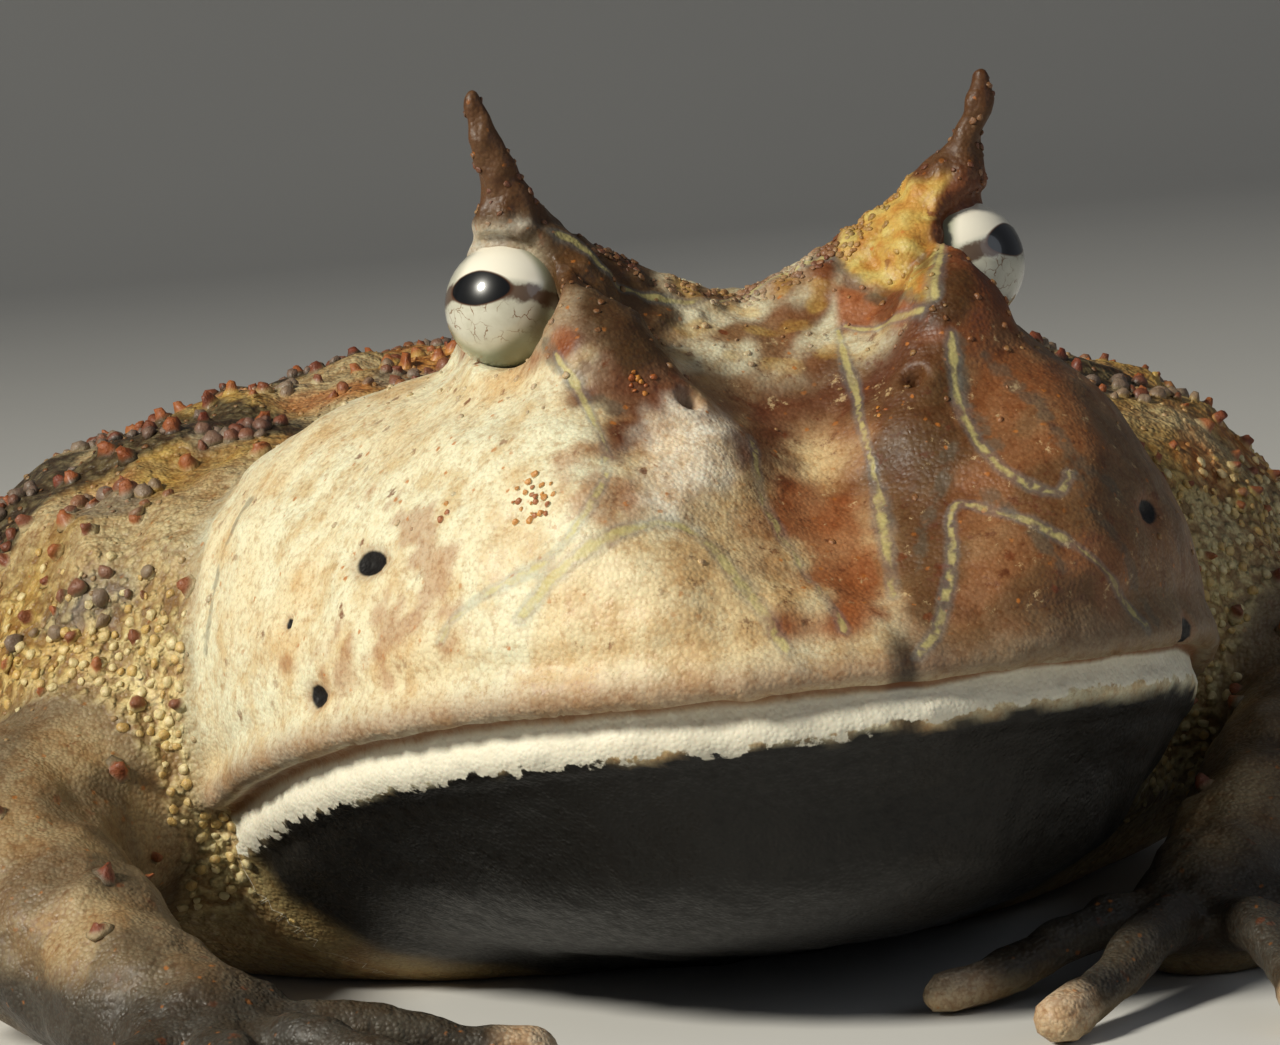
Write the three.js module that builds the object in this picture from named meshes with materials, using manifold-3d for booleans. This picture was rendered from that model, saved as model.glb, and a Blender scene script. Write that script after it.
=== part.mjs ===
// A life-size horned frog sitting flat on the floor, in millimetres.
// +Z is up, the snout points to -Y, and the frog's left side is +X. The floor is z = 0.
// The head, jaw and torso are one smooth field, meshed in three grids and parted by thin cuts.
// The legs are lofted tubes, each sunk into the part that it grows from with a thin gap round it.
import * as THREE from "three";
import { mergeVertices } from "three/addons/utils/BufferGeometryUtils.js";
import Module from "manifold-3d";

const wasm = await Module();
wasm.setup();

// Driving sizes
const GAP = 0.3; // between neighbouring nodes
const ORIGIN_Y = 1.3; // middle of the frog from fingertip to rump
const FLOOR_FLAT = 0; // level of every flat that the frog rests on
const FAR = 90; // beyond every side of the frog
const UNDER = -20; // well below the floor
const HEAD_HALF_WIDTH = 27.5;
const HEAD_LENGTH_REACH = 34; // from the skull's middle to the snout
const SKULL_Y = -16;
const SKULL_HEIGHT = 22.7; // crown above the mouth's line
const SNOUT_Y = -50;
const LIP_Z = 18; // mouth line at the snout
const MOUTH_DROP = 7.8; // how much lower the mouth's corner is
const MOUTH_REACH = 36; // from the snout back to the mouth's corner
const MOUTH_BEND = 1.6; // power of the mouth line's downward bend
const NECK_Y = -10; // plane that parts head and jaw from the torso
const EYE = { x: 12.1, y: -26.3, z: 36.8, radius: 3.3 };
const HORN_LENGTH = 6.6;
const HORN_ROOT_Z = 41.3;
const HEAD_CELL = 1.9;
const JAW_CELL = 2.7;
const TORSO_CELL = 3.9;
const BLEND_BODY = 4;
const BLEND_BROW = 2.4;
const LEFT_TUCK = { from: 12, to: 25, by: 2.2 }; // the left cheek is drawn in a little

// Finishes
const finish = (color, roughness) => new THREE.MeshStandardMaterial({ color, roughness, metalness: 0 });
const faceSkin = finish(0xc99a6c, 0.62);
const backSkin = finish(0xb07a48, 0.78);
const legSkin = finish(0x8d7a63, 0.75);
const throatSkin = finish(0x4a4238, 0.8);
const eyeGloss = finish(0xd8d2bf, 0.12);

// Field arithmetic

const mix = (a, b, t) => a + (b - a) * t;
const clamp = (v, low, high) => Math.min(Math.max(v, low), high);

// Joins two distances with a round fillet about k wide.
function blend(a, b, k) {
  const t = clamp(0.5 + (0.5 * (b - a)) / k, 0, 1);
  return mix(b, a, t) - k * t * (1 - t);
}

// Distance to an ellipsoid, exact near its surface.
function ellipsoid(x, y, z, cx, cy, cz, rx, ry, rz) {
  const ux = (x - cx) / rx;
  const uy = (y - cy) / ry;
  const uz = (z - cz) / rz;
  const k0 = Math.hypot(ux, uy, uz);
  const k1 = Math.hypot(ux / rx, uy / ry, uz / rz);
  return k1 < 1e-9 ? -Math.min(rx, ry, rz) : (k0 * (k0 - 1)) / k1;
}

// Distance to a rod from a to b, each { x, y, z, r }, whose radius changes evenly.
function rod(x, y, z, a, b) {
  const dx = b.x - a.x;
  const dy = b.y - a.y;
  const dz = b.z - a.z;
  const along = (x - a.x) * dx + (y - a.y) * dy + (z - a.z) * dz;
  const t = clamp(along / (dx * dx + dy * dy + dz * dz), 0, 1);
  return Math.hypot(x - a.x - t * dx, y - a.y - t * dy, z - a.z - t * dz) - mix(a.r, b.r, t);
}

// Height of the mouth's line at a distance back from the snout.
function mouthLine(y) {
  const back = Math.max(y - SNOUT_Y, 0) / MOUTH_REACH;
  return LIP_Z - MOUTH_DROP * back ** MOUTH_BEND;
}

// The body's forms, for x >= 0

const SKULL_LIFT = 1; // of the skull's middle over the mouth's line
const CREST_ROOT = { x: 3.2, y: -25.2, z: 35.6, r: 1.5 };
const CREST_PEAK = { x: 12.4, y: -26.6, z: 41.3, r: 1.5 };
const LID_FILL_IN = { x: 7.6, y: -25.4, z: 33.6, r: 4.2 };
const LID_FILL_OUT = { x: 10.2, y: -25.0, z: 37.9, r: 2.9 };
const LID_FRONT = { x: 9.0, y: -33.6, z: 34.2, r: 1.6 };
const LID_BACK = { x: 11.4, y: -19.0, z: 33.8, r: 2.2 };
const CANTHUS = { x: 5.6, y: -36.5, z: 28.6, r: 1.7 };

const TURRET = [9.6, -25.4, 33.0, 3.9, 5.4, 4.4]; // the swelling that carries the eye

function browField(x, y, z) {
  let d = rod(x, y, z, CREST_ROOT, CREST_PEAK);
  d = blend(d, rod(x, y, z, LID_FILL_IN, LID_FILL_OUT), BLEND_BROW);
  d = blend(d, rod(x, y, z, LID_FRONT, CREST_PEAK), BLEND_BROW);
  d = blend(d, rod(x, y, z, LID_BACK, CREST_PEAK), BLEND_BROW);
  return d;
}

// The square rear corner of the skull over the jaw muscle, by its middle and radii
const CHEEK = [15.0, -13.5, 20.0, 12.4, 14.5, 12.2];
// Widths of fillets
const EASE = { cheek: 5, turret: 3, canthus: 4, throat: 4, belly: 6, shoulder: 7, rump: 8 };

// The distance from the midline as the head's form takes it.
function headSide(x) {
  const share = clamp((x - LEFT_TUCK.from) / (LEFT_TUCK.to - LEFT_TUCK.from), 0, 1);
  return x < 0 ? -x : x + LEFT_TUCK.by * share * share * (3 - 2 * share);
}

// The face slopes straight from the lip to the crest between the eyes, and its cheeks stand out.
const SNOUT_SLOPE = { y: -47.6, z: 21.2, degrees: 35.5, cheek: 0.03, ease: 3.5 };
function snoutSlope(x, y, z) {
  const { y: yLow, z: zLow, degrees, cheek } = SNOUT_SLOPE;
  const angle = (degrees * Math.PI) / 180;
  return Math.cos(angle) * (z - zLow) - Math.sin(angle) * (y - yLow) - cheek * x * x;
}

function upperHeadField(x, y, z) {
  const h = z - mouthLine(y);
  let d = ellipsoid(x, y, h, 0, SKULL_Y, SKULL_LIFT, HEAD_HALF_WIDTH, HEAD_LENGTH_REACH, SKULL_HEIGHT);
  d = -blend(-d, -snoutSlope(x, y, z), SNOUT_SLOPE.ease);
  d = blend(d, ellipsoid(x, y, z, ...CHEEK), EASE.cheek);
  d = blend(d, ellipsoid(x, y, z, ...TURRET), EASE.turret);
  d = blend(d, browField(x, y, z), BLEND_BROW);
  return blend(d, rod(x, y, z, CANTHUS, LID_FRONT), EASE.canthus);
}

const JAW = { inset: 1.3, shorter: 0.7, back: 0.6, drop: 1.5, depth: 9.5 }; // against the skull over it
const THROAT = [0, -22, 10.5, 19, 23, 8.2];
function jawField(x, y, z) {
  const h = z - mouthLine(y);
  const width = HEAD_HALF_WIDTH - JAW.inset;
  const length = HEAD_LENGTH_REACH - JAW.shorter;
  const rim = ellipsoid(x, y, h, 0, SKULL_Y + JAW.back, -JAW.drop, width, length, JAW.depth);
  return blend(rim, ellipsoid(x, y, z, ...THROAT), EASE.throat);
}

// Ellipsoids by their middles and radii
const RIBS = [0, 16, 14, 43, 37, 19];
const BELLY = [0, 14, 7.5, 41, 34, 10.5]; // spread on the floor
const SHOULDER = [25, 4, 18, 13, 17, 10];
const RUMP = [0, 44, 12, 20, 13.5, 11.5];
function torsoField(x, y, z) {
  let d = ellipsoid(x, y, z, ...RIBS);
  d = blend(d, ellipsoid(x, y, z, ...BELLY), EASE.belly);
  d = blend(d, ellipsoid(x, y, z, ...SHOULDER), EASE.shoulder);
  return blend(d, ellipsoid(x, y, z, ...RUMP), EASE.rump);
}

const withTorso = (headField) => (x, y, z) =>
  blend(headField(headSide(x), y, z), torsoField(Math.abs(x), y, z), BLEND_BODY);
const upperField = withTorso(upperHeadField);
const lowerField = withTorso(jawField);

// Behind the mouth's corner the two halves of the head run together.
const MOUTH_MERGE = 3; // height over which they do
function bodyField(x, y, z) {
  const share = clamp(0.5 + (z - mouthLine(y)) / MOUTH_MERGE, 0, 1);
  return mix(lowerField(x, y, z), upperField(x, y, z), share);
}

// Meshing

// A closed geometry as a solid, without the empty faces that a lathe leaves at its poles.
function solid(geometry) {
  const bare = geometry.clone();
  bare.deleteAttribute("normal");
  bare.deleteAttribute("uv");
  const merged = mergeVertices(bare, 1e-4);
  const faces = [];
  for (let n = 0; n < merged.index.count; n += 3) {
    const [a, b, c] = [0, 1, 2].map((i) => merged.index.getX(n + i));
    if (a !== b && b !== c && c !== a) faces.push(a, b, c);
  }
  return new wasm.Manifold(
    new wasm.Mesh({
      numProp: 3,
      vertProperties: merged.attributes.position.array,
      triVerts: new Uint32Array(faces),
    }),
  );
}

// A closed mesh on the zero level of a field, by one vertex in each grid cell that the surface crosses.
function meshField(field, low, high, cell) {
  const count = [0, 1, 2].map((i) => Math.ceil((high[i] - low[i]) / cell) + 1);
  const at = (i, j, k) => (k * count[1] + j) * count[0] + i;
  const place = (axis, n) => low[axis] + n * cell;
  const value = new Float64Array(count[0] * count[1] * count[2]);
  for (let k = 0; k < count[2]; k++)
    for (let j = 0; j < count[1]; j++)
      for (let i = 0; i < count[0]; i++)
        value[at(i, j, k)] = field(place(0, i), place(1, j), place(2, k));
  const corners = [0, 1, 2, 3, 4, 5, 6, 7].map((c) => [c & 1, (c >> 1) & 1, c >> 2]);
  const edges = corners.flatMap((a, m) =>
    corners.map((b, n) => [m, n]).filter(([, n]) => n > m && [1, 2, 4].includes(m ^ n)),
  );
  const vertexOf = new Map();
  const positions = [];
  for (let k = 0; k + 1 < count[2]; k++)
    for (let j = 0; j + 1 < count[1]; j++)
      for (let i = 0; i + 1 < count[0]; i++) {
        const near = corners.map(([a, b, c]) => value[at(i + a, j + b, k + c)]);
        if (near.every((v) => v < 0) || near.every((v) => v >= 0)) continue;
        const sum = [0, 0, 0];
        let crossings = 0;
        for (const [m, n] of edges) {
          if (near[m] < 0 === near[n] < 0) continue;
          const t = near[m] / (near[m] - near[n]);
          for (const axis of [0, 1, 2]) sum[axis] += mix(corners[m][axis], corners[n][axis], t);
          crossings++;
        }
        vertexOf.set(at(i, j, k), positions.length / 3);
        positions.push(...[i, j, k].map((n, axis) => place(axis, n + sum[axis] / crossings)));
      }
  const faces = [];
  const steps = [
    [1, 0, 0],
    [0, 1, 0],
    [0, 0, 1],
  ];
  for (let k = 1; k + 1 < count[2]; k++)
    for (let j = 1; j + 1 < count[1]; j++)
      for (let i = 1; i + 1 < count[0]; i++)
        for (const axis of [0, 1, 2]) {
          const [si, sj, sk] = steps[axis];
          const here = value[at(i, j, k)] < 0;
          if (here === value[at(i + si, j + sj, k + sk)] < 0) continue;
          const [u, w] = [steps[(axis + 1) % 3], steps[(axis + 2) % 3]];
          const corner = (a, b) =>
            vertexOf.get(at(i - a * u[0] - b * w[0], j - a * u[1] - b * w[1], k - a * u[2] - b * w[2]));
          const quad = [corner(0, 0), corner(1, 0), corner(1, 1), corner(0, 1)];
          if (!here) quad.reverse();
          faces.push(quad[0], quad[1], quad[2], quad[0], quad[2], quad[3]);
        }
  return new THREE.BufferGeometry()
    .setAttribute("position", new THREE.BufferAttribute(new Float32Array(positions), 3))
    .setIndex(faces);
}

const fieldSolid = (field, [low, high], cell) => solid(meshField(field, low, high, cell));

// A tube through points whose radius is set at each point, closed by round ends.
// flatness squeezes its rings upwards.
const CAP_RING = 0.6; // place of an end's one ring, as a share of the radius
function limbTube(points, radii, sides, steps, flatness = 1) {
  const curve = new THREE.CatmullRomCurve3(points.map((p) => new THREE.Vector3(...p)), false, "centripetal");
  const last = points.length - 1;
  const radiusAt = (t) => {
    const n = Math.min(Math.floor(t * last), last - 1);
    const share = t * last - n;
    return mix(radii[n], radii[n + 1], share * share * (3 - 2 * share));
  };
  const up = new THREE.Vector3(0, 0, 1);
  const rings = [];
  const addRing = (centre, along, radius) => {
    const side = new THREE.Vector3().crossVectors(along, up).normalize();
    const lift = new THREE.Vector3().crossVectors(side, along).normalize();
    rings.push(
      Array.from({ length: sides }, (_, n) => {
        const angle = (2 * Math.PI * (n + 0.5)) / sides;
        return centre
          .clone()
          .addScaledVector(side, Math.cos(angle) * radius)
          .addScaledVector(lift, Math.sin(angle) * radius * flatness);
      }),
    );
  };
  const cap = (t, direction) => {
    const along = curve.getTangent(t);
    const radius = radiusAt(t);
    const middle = curve.getPoint(t).addScaledVector(along, direction * radius * CAP_RING);
    addRing(middle, along, radius * Math.sqrt(1 - CAP_RING * CAP_RING));
    return curve.getPoint(t).addScaledVector(along, direction * radius);
  };
  const start = cap(0, -1);
  for (let n = 0; n <= steps; n++) {
    const t = n / steps;
    addRing(curve.getPoint(t), curve.getTangent(t), radiusAt(t));
  }
  const end = cap(1, 1);
  const positions = [...rings.flat(), start, end].flatMap((p) => [p.x, p.y, p.z]);
  const faces = [];
  const startIndex = rings.length * sides;
  const lastRing = startIndex - sides;
  for (let n = 0; n < sides; n++) {
    const next = (n + 1) % sides;
    for (let ring = 0; ring < rings.length - 1; ring++) {
      const a = ring * sides;
      const b = a + sides;
      faces.push(a + n, b + n, b + next, a + n, b + next, a + next);
    }
    faces.push(startIndex, n, next);
    faces.push(startIndex + 1, lastRing + next, lastRing + n);
  }
  const geometry = new THREE.BufferGeometry()
    .setAttribute("position", new THREE.BufferAttribute(new Float32Array(positions), 3))
    .setIndex(faces);
  const made = solid(geometry);
  if (made.volume() > 0) return made;
  geometry.setIndex(faces.reverse());
  return solid(geometry);
}

function ball(centre, radius, scale = [1, 1, 1], rows = 6) {
  const columns = rows + 4;
  const geometry = new THREE.SphereGeometry(radius, columns, rows);
  geometry.scale(...scale).translate(...centre);
  return solid(geometry);
}

function block(low, high) {
  const size = [0, 1, 2].map((i) => high[i] - low[i]);
  const middle = [0, 1, 2].map((i) => (high[i] + low[i]) / 2);
  return solid(new THREE.BoxGeometry(...size).translate(...middle));
}

const join = (pieces) => pieces.reduce((whole, piece) => whole.add(piece));
const largest = (made) => made.decompose().reduce((a, b) => (a.volume() > b.volume() ? a : b));
const belowFloor = block([-FAR, -FAR, UNDER], [FAR, FAR, FLOOR_FLAT]);
const settle = (made) => largest(made.subtract(belowFloor));

const group = new THREE.Group();
function addNode(name, made, material) {
  const { vertProperties, triVerts } = made.getMesh();
  const geometry = new THREE.BufferGeometry()
    .setAttribute("position", new THREE.BufferAttribute(new Float32Array(vertProperties), 3))
    .setIndex(new THREE.BufferAttribute(new Uint32Array(triVerts), 1));
  geometry.computeVertexNormals();
  const mesh = new THREE.Mesh(geometry, material);
  mesh.name = name;
  group.add(mesh);
}

// Everything under or over the mouth's line, as one extruded profile.
function mouthHalf(upper) {
  const shape = new THREE.Shape();
  const edge = (upper ? -1 : 1) * (GAP / 2);
  const samples = 14;
  const overhang = 20; // past the snout and the neck
  const yFront = SNOUT_Y - overhang;
  const yBack = NECK_Y + overhang;
  const zFar = upper ? FAR : UNDER;
  shape.moveTo(yFront, zFar);
  for (let n = 0; n <= samples; n++) {
    const y = mix(yFront, yBack, n / samples);
    shape.lineTo(y, mouthLine(y) + edge);
  }
  shape.lineTo(yBack, zFar);
  const width = FAR;
  const geometry = new THREE.ExtrudeGeometry(shape, { depth: width, bevelEnabled: false, steps: 1 });
  // The shape's x and y are the frog's y and z, and the extrusion runs along its x.
  geometry.applyMatrix4(new THREE.Matrix4().set(0, 0, 1, -width / 2, 1, 0, 0, 0, 0, 1, 0, 0, 0, 0, 0, 1));
  return solid(geometry);
}

// Legs. side is 1 for the frog's left and -1 for its right, and grow swells the solid to cut its seat.

const ARM = {
  1: { shoulder: [27, -4, 13], elbow: [38, -12.5, 9], wrist: [23.9, -30, 4.4], palm: [20.5, -34, 3.1] },
  [-1]: { shoulder: [27, -4, 13], elbow: [40, -14, 9], wrist: [34.8, -30.8, 4.4], palm: [32.4, -34.7, 3.1] },
};
const LEG = { hip: [15, 41, 13], knee: [45, 19, 11], heel: [30, 50, 6], sole: [40, 42.5, 3.0] };
const LIMB_SIDES = 10;
const UPPER_ARM = { radii: [7.6, 6.6, 5.9], middle: 0.5, steps: 4 };
const FOREARM = { radii: [5.2, 5.4, 3.7], middle: 0.4, steps: 5 };
const THIGH = { radii: [10.5, 10.2, 7.2], middle: 0.5, bulge: [1, 0.5, 1], steps: 6, sides: 12 };
const SHANK = {
  radii: [6.4, 6.9, 4.4],
  middle: 0.42,
  start: [2.2, 0, -2.6],
  bulge: [4.2, 0, -0.4],
  steps: 6,
};
const TARSUS = { radii: [4.2, 3.7, 3.3], middle: 0.6, steps: 4, flatness: 0.92 };
const WRIST = { radii: [3.6, 3.4], steps: 2, flatness: 0.9 };
const PALM_PAD = { offset: [-0.4, -1.2], z: 2.6, radius: 4.6, squash: [1, 0.95, 0.66] };
const SOLE_PAD = { offset: [0.5, -1.5], z: 2.4, radius: 4.3, squash: [1, 1.05, 0.64] };
const FINGER_ROOT = { offset: [-0.4, -1], z: 2.7, knuckle: 3.3 };
const TOE_ROOT = { offset: [0.3, -1], z: 2.5, knuckle: 2.9 };

const mirrored = (p, side) => [p[0] * side, p[1], p[2]];
const between = (a, b, t) => a.map((v, i) => mix(v, b[i], t));
const shifted = (p, offset) => p.map((v, i) => v + offset[i]);
const beside = (p, { offset, z }) => [p[0] + offset[0], p[1] + offset[1], z];

// A limb on one side from its path on the left, with its radii swollen by grow.
function limb(path, side, { radii, steps, sides = LIMB_SIDES, flatness = 1 }, grow = 0) {
  const turned = path.map((p) => mirrored(p, side));
  return limbTube(turned, radii.map((r) => r + grow), sides, steps, flatness);
}

function upperArm(side, grow = 0) {
  const { shoulder, elbow } = ARM[side];
  return limb([shoulder, between(shoulder, elbow, UPPER_ARM.middle), elbow], side, UPPER_ARM, grow);
}

function forearm(side, grow = 0) {
  const { elbow, wrist } = ARM[side];
  return limb([elbow, between(elbow, wrist, FOREARM.middle), wrist], side, FOREARM, grow);
}

// Fingers by their direction, in degrees from straight ahead towards the midline, and their length.
const FINGERS = [
  { turn: 70, reach: 16.5, thick: 1.15 },
  { turn: 36, reach: 19.5, thick: 1.2 },
  { turn: -2, reach: 19, thick: 1.2 },
  { turn: -46, reach: 13.5, thick: 1.1 },
];
const HAND_TURN = { 1: 8, [-1]: 4 };
const TOES = [
  { turn: 62, reach: 8.5, thick: 1.35 },
  { turn: 36, reach: 12.0, thick: 1.4 },
  { turn: 12, reach: 16.0, thick: 1.45 },
  { turn: -12, reach: 19.5, thick: 1.45 },
  { turn: -40, reach: 13.0, thick: 1.35 },
];

// A digit rises from its root to the knuckle and comes down on a round tip.
const DIGIT_SHARES = [0.06, 0.4, 0.72, 0.95]; // of the reach, at the root, knuckle, joint and tip
const DIGIT_BENDS = [0, 0.5, 0.4, 0]; // sideways
const DIGIT_RADII = [1.35, 1.12, 0.95, 1.12]; // of the thickness
const DIGIT_JOINT_LIFT = 0.75;
const DIGIT_TIP_SINK = 0.1;
const DIGIT_SIDES = 6;
const DIGIT_STEPS = 4;
function digits(root, list, heading, side, knuckle) {
  return list.map(({ turn, reach, thick }) => {
    const angle = THREE.MathUtils.degToRad(turn + heading);
    const out = [-Math.sin(angle) * side, -Math.cos(angle)];
    const heights = [root[2], knuckle, thick + DIGIT_JOINT_LIFT, thick - DIGIT_TIP_SINK];
    const path = DIGIT_SHARES.map((share, n) => [
      root[0] * side + out[0] * reach * share - out[1] * DIGIT_BENDS[n],
      root[1] + out[1] * reach * share + out[0] * DIGIT_BENDS[n],
      heights[n],
    ]);
    return limbTube(path, DIGIT_RADII.map((r) => r * thick), DIGIT_SIDES, DIGIT_STEPS);
  });
}

const pad = (place, side, { radius, squash }) => ball(mirrored(place, side), radius, squash);

function hand(side) {
  const { wrist, palm } = ARM[side];
  const root = beside(palm, FINGER_ROOT);
  const fingers = digits(root, FINGERS, HAND_TURN[side], side, FINGER_ROOT.knuckle);
  return join([limb([wrist, palm], side, WRIST), pad(beside(palm, PALM_PAD), side, PALM_PAD), ...fingers]);
}

function thigh(side, grow = 0) {
  const { hip, knee } = LEG;
  return limb([hip, shifted(between(hip, knee, THIGH.middle), THIGH.bulge), knee], side, THIGH, grow);
}

function shank(side, grow = 0) {
  const { knee, heel } = LEG;
  const calf = shifted(between(knee, heel, SHANK.middle), SHANK.bulge);
  return limb([shifted(knee, SHANK.start), calf, heel], side, SHANK, grow);
}

const WEB = { tip: 0.62, valley: 0.46, bottom: 0.6, thickness: 1.1 }; // its outline by shares of the toes
function webOf(root, list, heading, side) {
  const shape = new THREE.Shape();
  const spot = (turn, reach) => {
    const angle = THREE.MathUtils.degToRad(turn + heading);
    return [root[0] * side - Math.sin(angle) * side * reach, root[1] - Math.cos(angle) * reach];
  };
  shape.moveTo(root[0] * side, root[1]);
  list.forEach(({ turn, reach }, n) => {
    shape.lineTo(...spot(turn, reach * WEB.tip));
    const next = list[n + 1];
    if (next) shape.lineTo(...spot((turn + next.turn) / 2, Math.min(reach, next.reach) * WEB.valley));
  });
  shape.closePath();
  const sheet = new THREE.ExtrudeGeometry(shape, { depth: WEB.thickness, bevelEnabled: false, steps: 1 });
  return solid(sheet.translate(0, 0, WEB.bottom));
}

const FOOT_HEADING = -16;
function foot(side) {
  const { heel, sole } = LEG;
  const root = beside(sole, TOE_ROOT);
  const tarsus = limb([heel, between(heel, sole, TARSUS.middle), sole], side, TARSUS);
  const toes = digits(root, TOES, FOOT_HEADING, side, TOE_ROOT.knuckle);
  const web = webOf(root, TOES, FOOT_HEADING, side);
  return join([tarsus, pad(beside(sole, SOLE_PAD), side, SOLE_PAD), web, ...toes]);
}

// The horn: a soft point on the upper lid, bent back a little at its tip and cut flat at its foot.
const HORN_PATH = [
  [12.4, -26.4, 0],
  [12.7, -26.8, 0.3],
  [13.1, -27.3, 0.64],
  [13.7, -27.0, 0.9],
]; // x, y and the share of the horn's length
const HORN = { radii: [1.75, 1.1, 0.85, 0.5], steps: 6, sides: 8, start: 41.0 };
function horn(side, grow = 0) {
  const path = HORN_PATH.map(([x, y, share]) => [x, y, HORN.start + HORN_LENGTH * share]);
  const belowRoot = block([-FAR, -FAR, UNDER], [FAR, FAR, HORN_ROOT_Z - grow]);
  return limb(path, side, HORN, grow).subtract(belowRoot);
}

// Warts: low cones fused to the back and flanks, seeded so that each build is the same.
let seed = 20417;
function random() {
  seed = (seed * 1664525 + 1013904223) % 4294967296;
  return seed / 4294967296;
}

function normalAt(field, [x, y, z]) {
  const e = 0.05; // step of the differences
  return new THREE.Vector3(
    field(x + e, y, z) - field(x - e, y, z),
    field(x, y + e, z) - field(x, y - e, z),
    field(x, y, z + e) - field(x, y, z - e),
  ).normalize();
}

const WART = { sides: 5, root: -0.9, shoulder: [0.8, 0.45] }; // shoulder by shares of radius and height
function wart(spot, normal, radius, height) {
  const points = [
    new THREE.Vector2(0, WART.root),
    new THREE.Vector2(radius, WART.root),
    new THREE.Vector2(radius * WART.shoulder[0], height * WART.shoulder[1]),
    new THREE.Vector2(0, height),
  ];
  const turn = new THREE.Quaternion().setFromUnitVectors(new THREE.Vector3(0, 1, 0), normal);
  const geometry = new THREE.LatheGeometry(points, WART.sides).applyQuaternion(turn).translate(...spot);
  return solid(geometry);
}

// The point where a ray from inside the body leaves it.
const MARCH = { steps: 60, pace: 0.8, start: 2 };
function surfaceFrom(origin, direction) {
  const at = (reach) => origin.map((v, i) => v + direction[i] * reach);
  let reach = MARCH.start;
  for (let n = 0; n < MARCH.steps; n++) reach -= bodyField(...at(reach)) * MARCH.pace;
  return at(reach);
}

// The upper lip: a thick edge round the whole mouth, from corner to corner.
const LIP = { radius: 1.15, above: 1.15, sunk: 0.7, corner: 78, sides: 6, samples: 24 };
function lip() {
  const path = [];
  for (let n = 0; n <= LIP.samples; n++) {
    const turn = THREE.MathUtils.degToRad(mix(-LIP.corner, LIP.corner, n / LIP.samples));
    const direction = [Math.sin(turn), -Math.cos(turn)];
    const at = (reach) => {
      const y = SKULL_Y + direction[1] * reach;
      return [direction[0] * reach, y, mouthLine(y) + LIP.above];
    };
    let reach = -SKULL_Y;
    for (let step = 0; step < MARCH.steps; step++) reach -= upperField(...at(reach)) * MARCH.pace;
    path.push(at(reach - LIP.sunk));
  }
  return limbTube(path, path.map(() => LIP.radius), LIP.sides, LIP.samples);
}

// The rim of the lids round each eye, and the opening between them.
const GAZE = new THREE.Vector3(0.8, -0.55, 0.2).normalize();
const LID = { clear: 0.15, tube: 0.6, setback: 0.8, sides: 5, steps: 13 }; // setback is from the eye's middle
const LID_OPENING = { direction: [0.4, -0.9, 0.2], length: 4, flare: 0.45 };
function lidRing(side) {
  const geometry = new THREE.TorusGeometry(EYE.radius + LID.clear, LID.tube, LID.sides, LID.steps);
  geometry.applyQuaternion(new THREE.Quaternion().setFromUnitVectors(new THREE.Vector3(0, 0, 1), GAZE));
  const { x, y, z } = GAZE.clone().multiplyScalar(-LID.setback);
  geometry.translate(EYE.x + x, EYE.y + y, EYE.z + z);
  return solid(side > 0 ? geometry : mirrorX(geometry));
}

function lidOpening(side) {
  const start = [EYE.x, EYE.y, EYE.z];
  const end = start.map((v, i) => v + LID_OPENING.direction[i] * LID_OPENING.length);
  const radius = EYE.radius + GAP;
  return limb([start, end], side, { radii: [radius, radius + LID_OPENING.flare], steps: 2, sides: 12 });
}

function mirrorX(geometry) {
  const turned = geometry.clone().scale(-1, 1, 1);
  const index = turned.index.array;
  for (let n = 0; n < index.length; n += 3) [index[n], index[n + 1]] = [index[n + 1], index[n]];
  return turned;
}

const NOSTRIL = { x: 5.8, y: -34.4, z: 31.3, radius: 0.8, slant: [0.9, -2.2, 0.6] };
const NOSTRIL_RIM = { wider: 0.9, back: 0.6, squash: [1, 1, 0.9] };
const NOSTRIL_BORE = { taper: 0.7, sides: 6, steps: 1 };
function nostrilRim(side) {
  const { x, y, z, radius } = NOSTRIL;
  return ball([x * side, y + NOSTRIL_RIM.back, z], radius + NOSTRIL_RIM.wider, NOSTRIL_RIM.squash);
}
function nostrilHole(side) {
  const { x, y, z, radius, slant } = NOSTRIL;
  const path = [shifted([x, y, z], slant), shifted([x, y, z], slant.map((v) => -v))];
  return limb(path, side, { ...NOSTRIL_BORE, radii: [radius, radius * NOSTRIL_BORE.taper] });
}

const WARTS = { count: 72, core: [0, 16, 14], top: 0.97, low: 0.12, stray: 0.16, small: 0.9, large: 1.7 };
const WART_RISE = [0.75, 1.15]; // height by the radius
const WART_NECK_CLEARANCE = 2.6;
function backWarts() {
  const made = [];
  const golden = Math.PI * (3 - Math.sqrt(5));
  for (let n = 0; n < WARTS.count; n++) {
    const rise = mix(WARTS.top, WARTS.low, (n + 0.5) / WARTS.count);
    const ring = Math.sqrt(1 - rise * rise);
    const angle = golden * n + mix(-WARTS.stray, WARTS.stray, random());
    const direction = [Math.cos(angle) * ring, Math.sin(angle) * ring, rise];
    const size = mix(WARTS.small, WARTS.large, random() ** 1.6);
    const spot = surfaceFrom(WARTS.core, direction);
    if (spot[1] < NECK_Y + WART_NECK_CLEARANCE) continue;
    made.push(wart(spot, normalAt(bodyField, spot), size, size * mix(...WART_RISE, random())));
  }
  return made;
}

// The nodes

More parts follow.
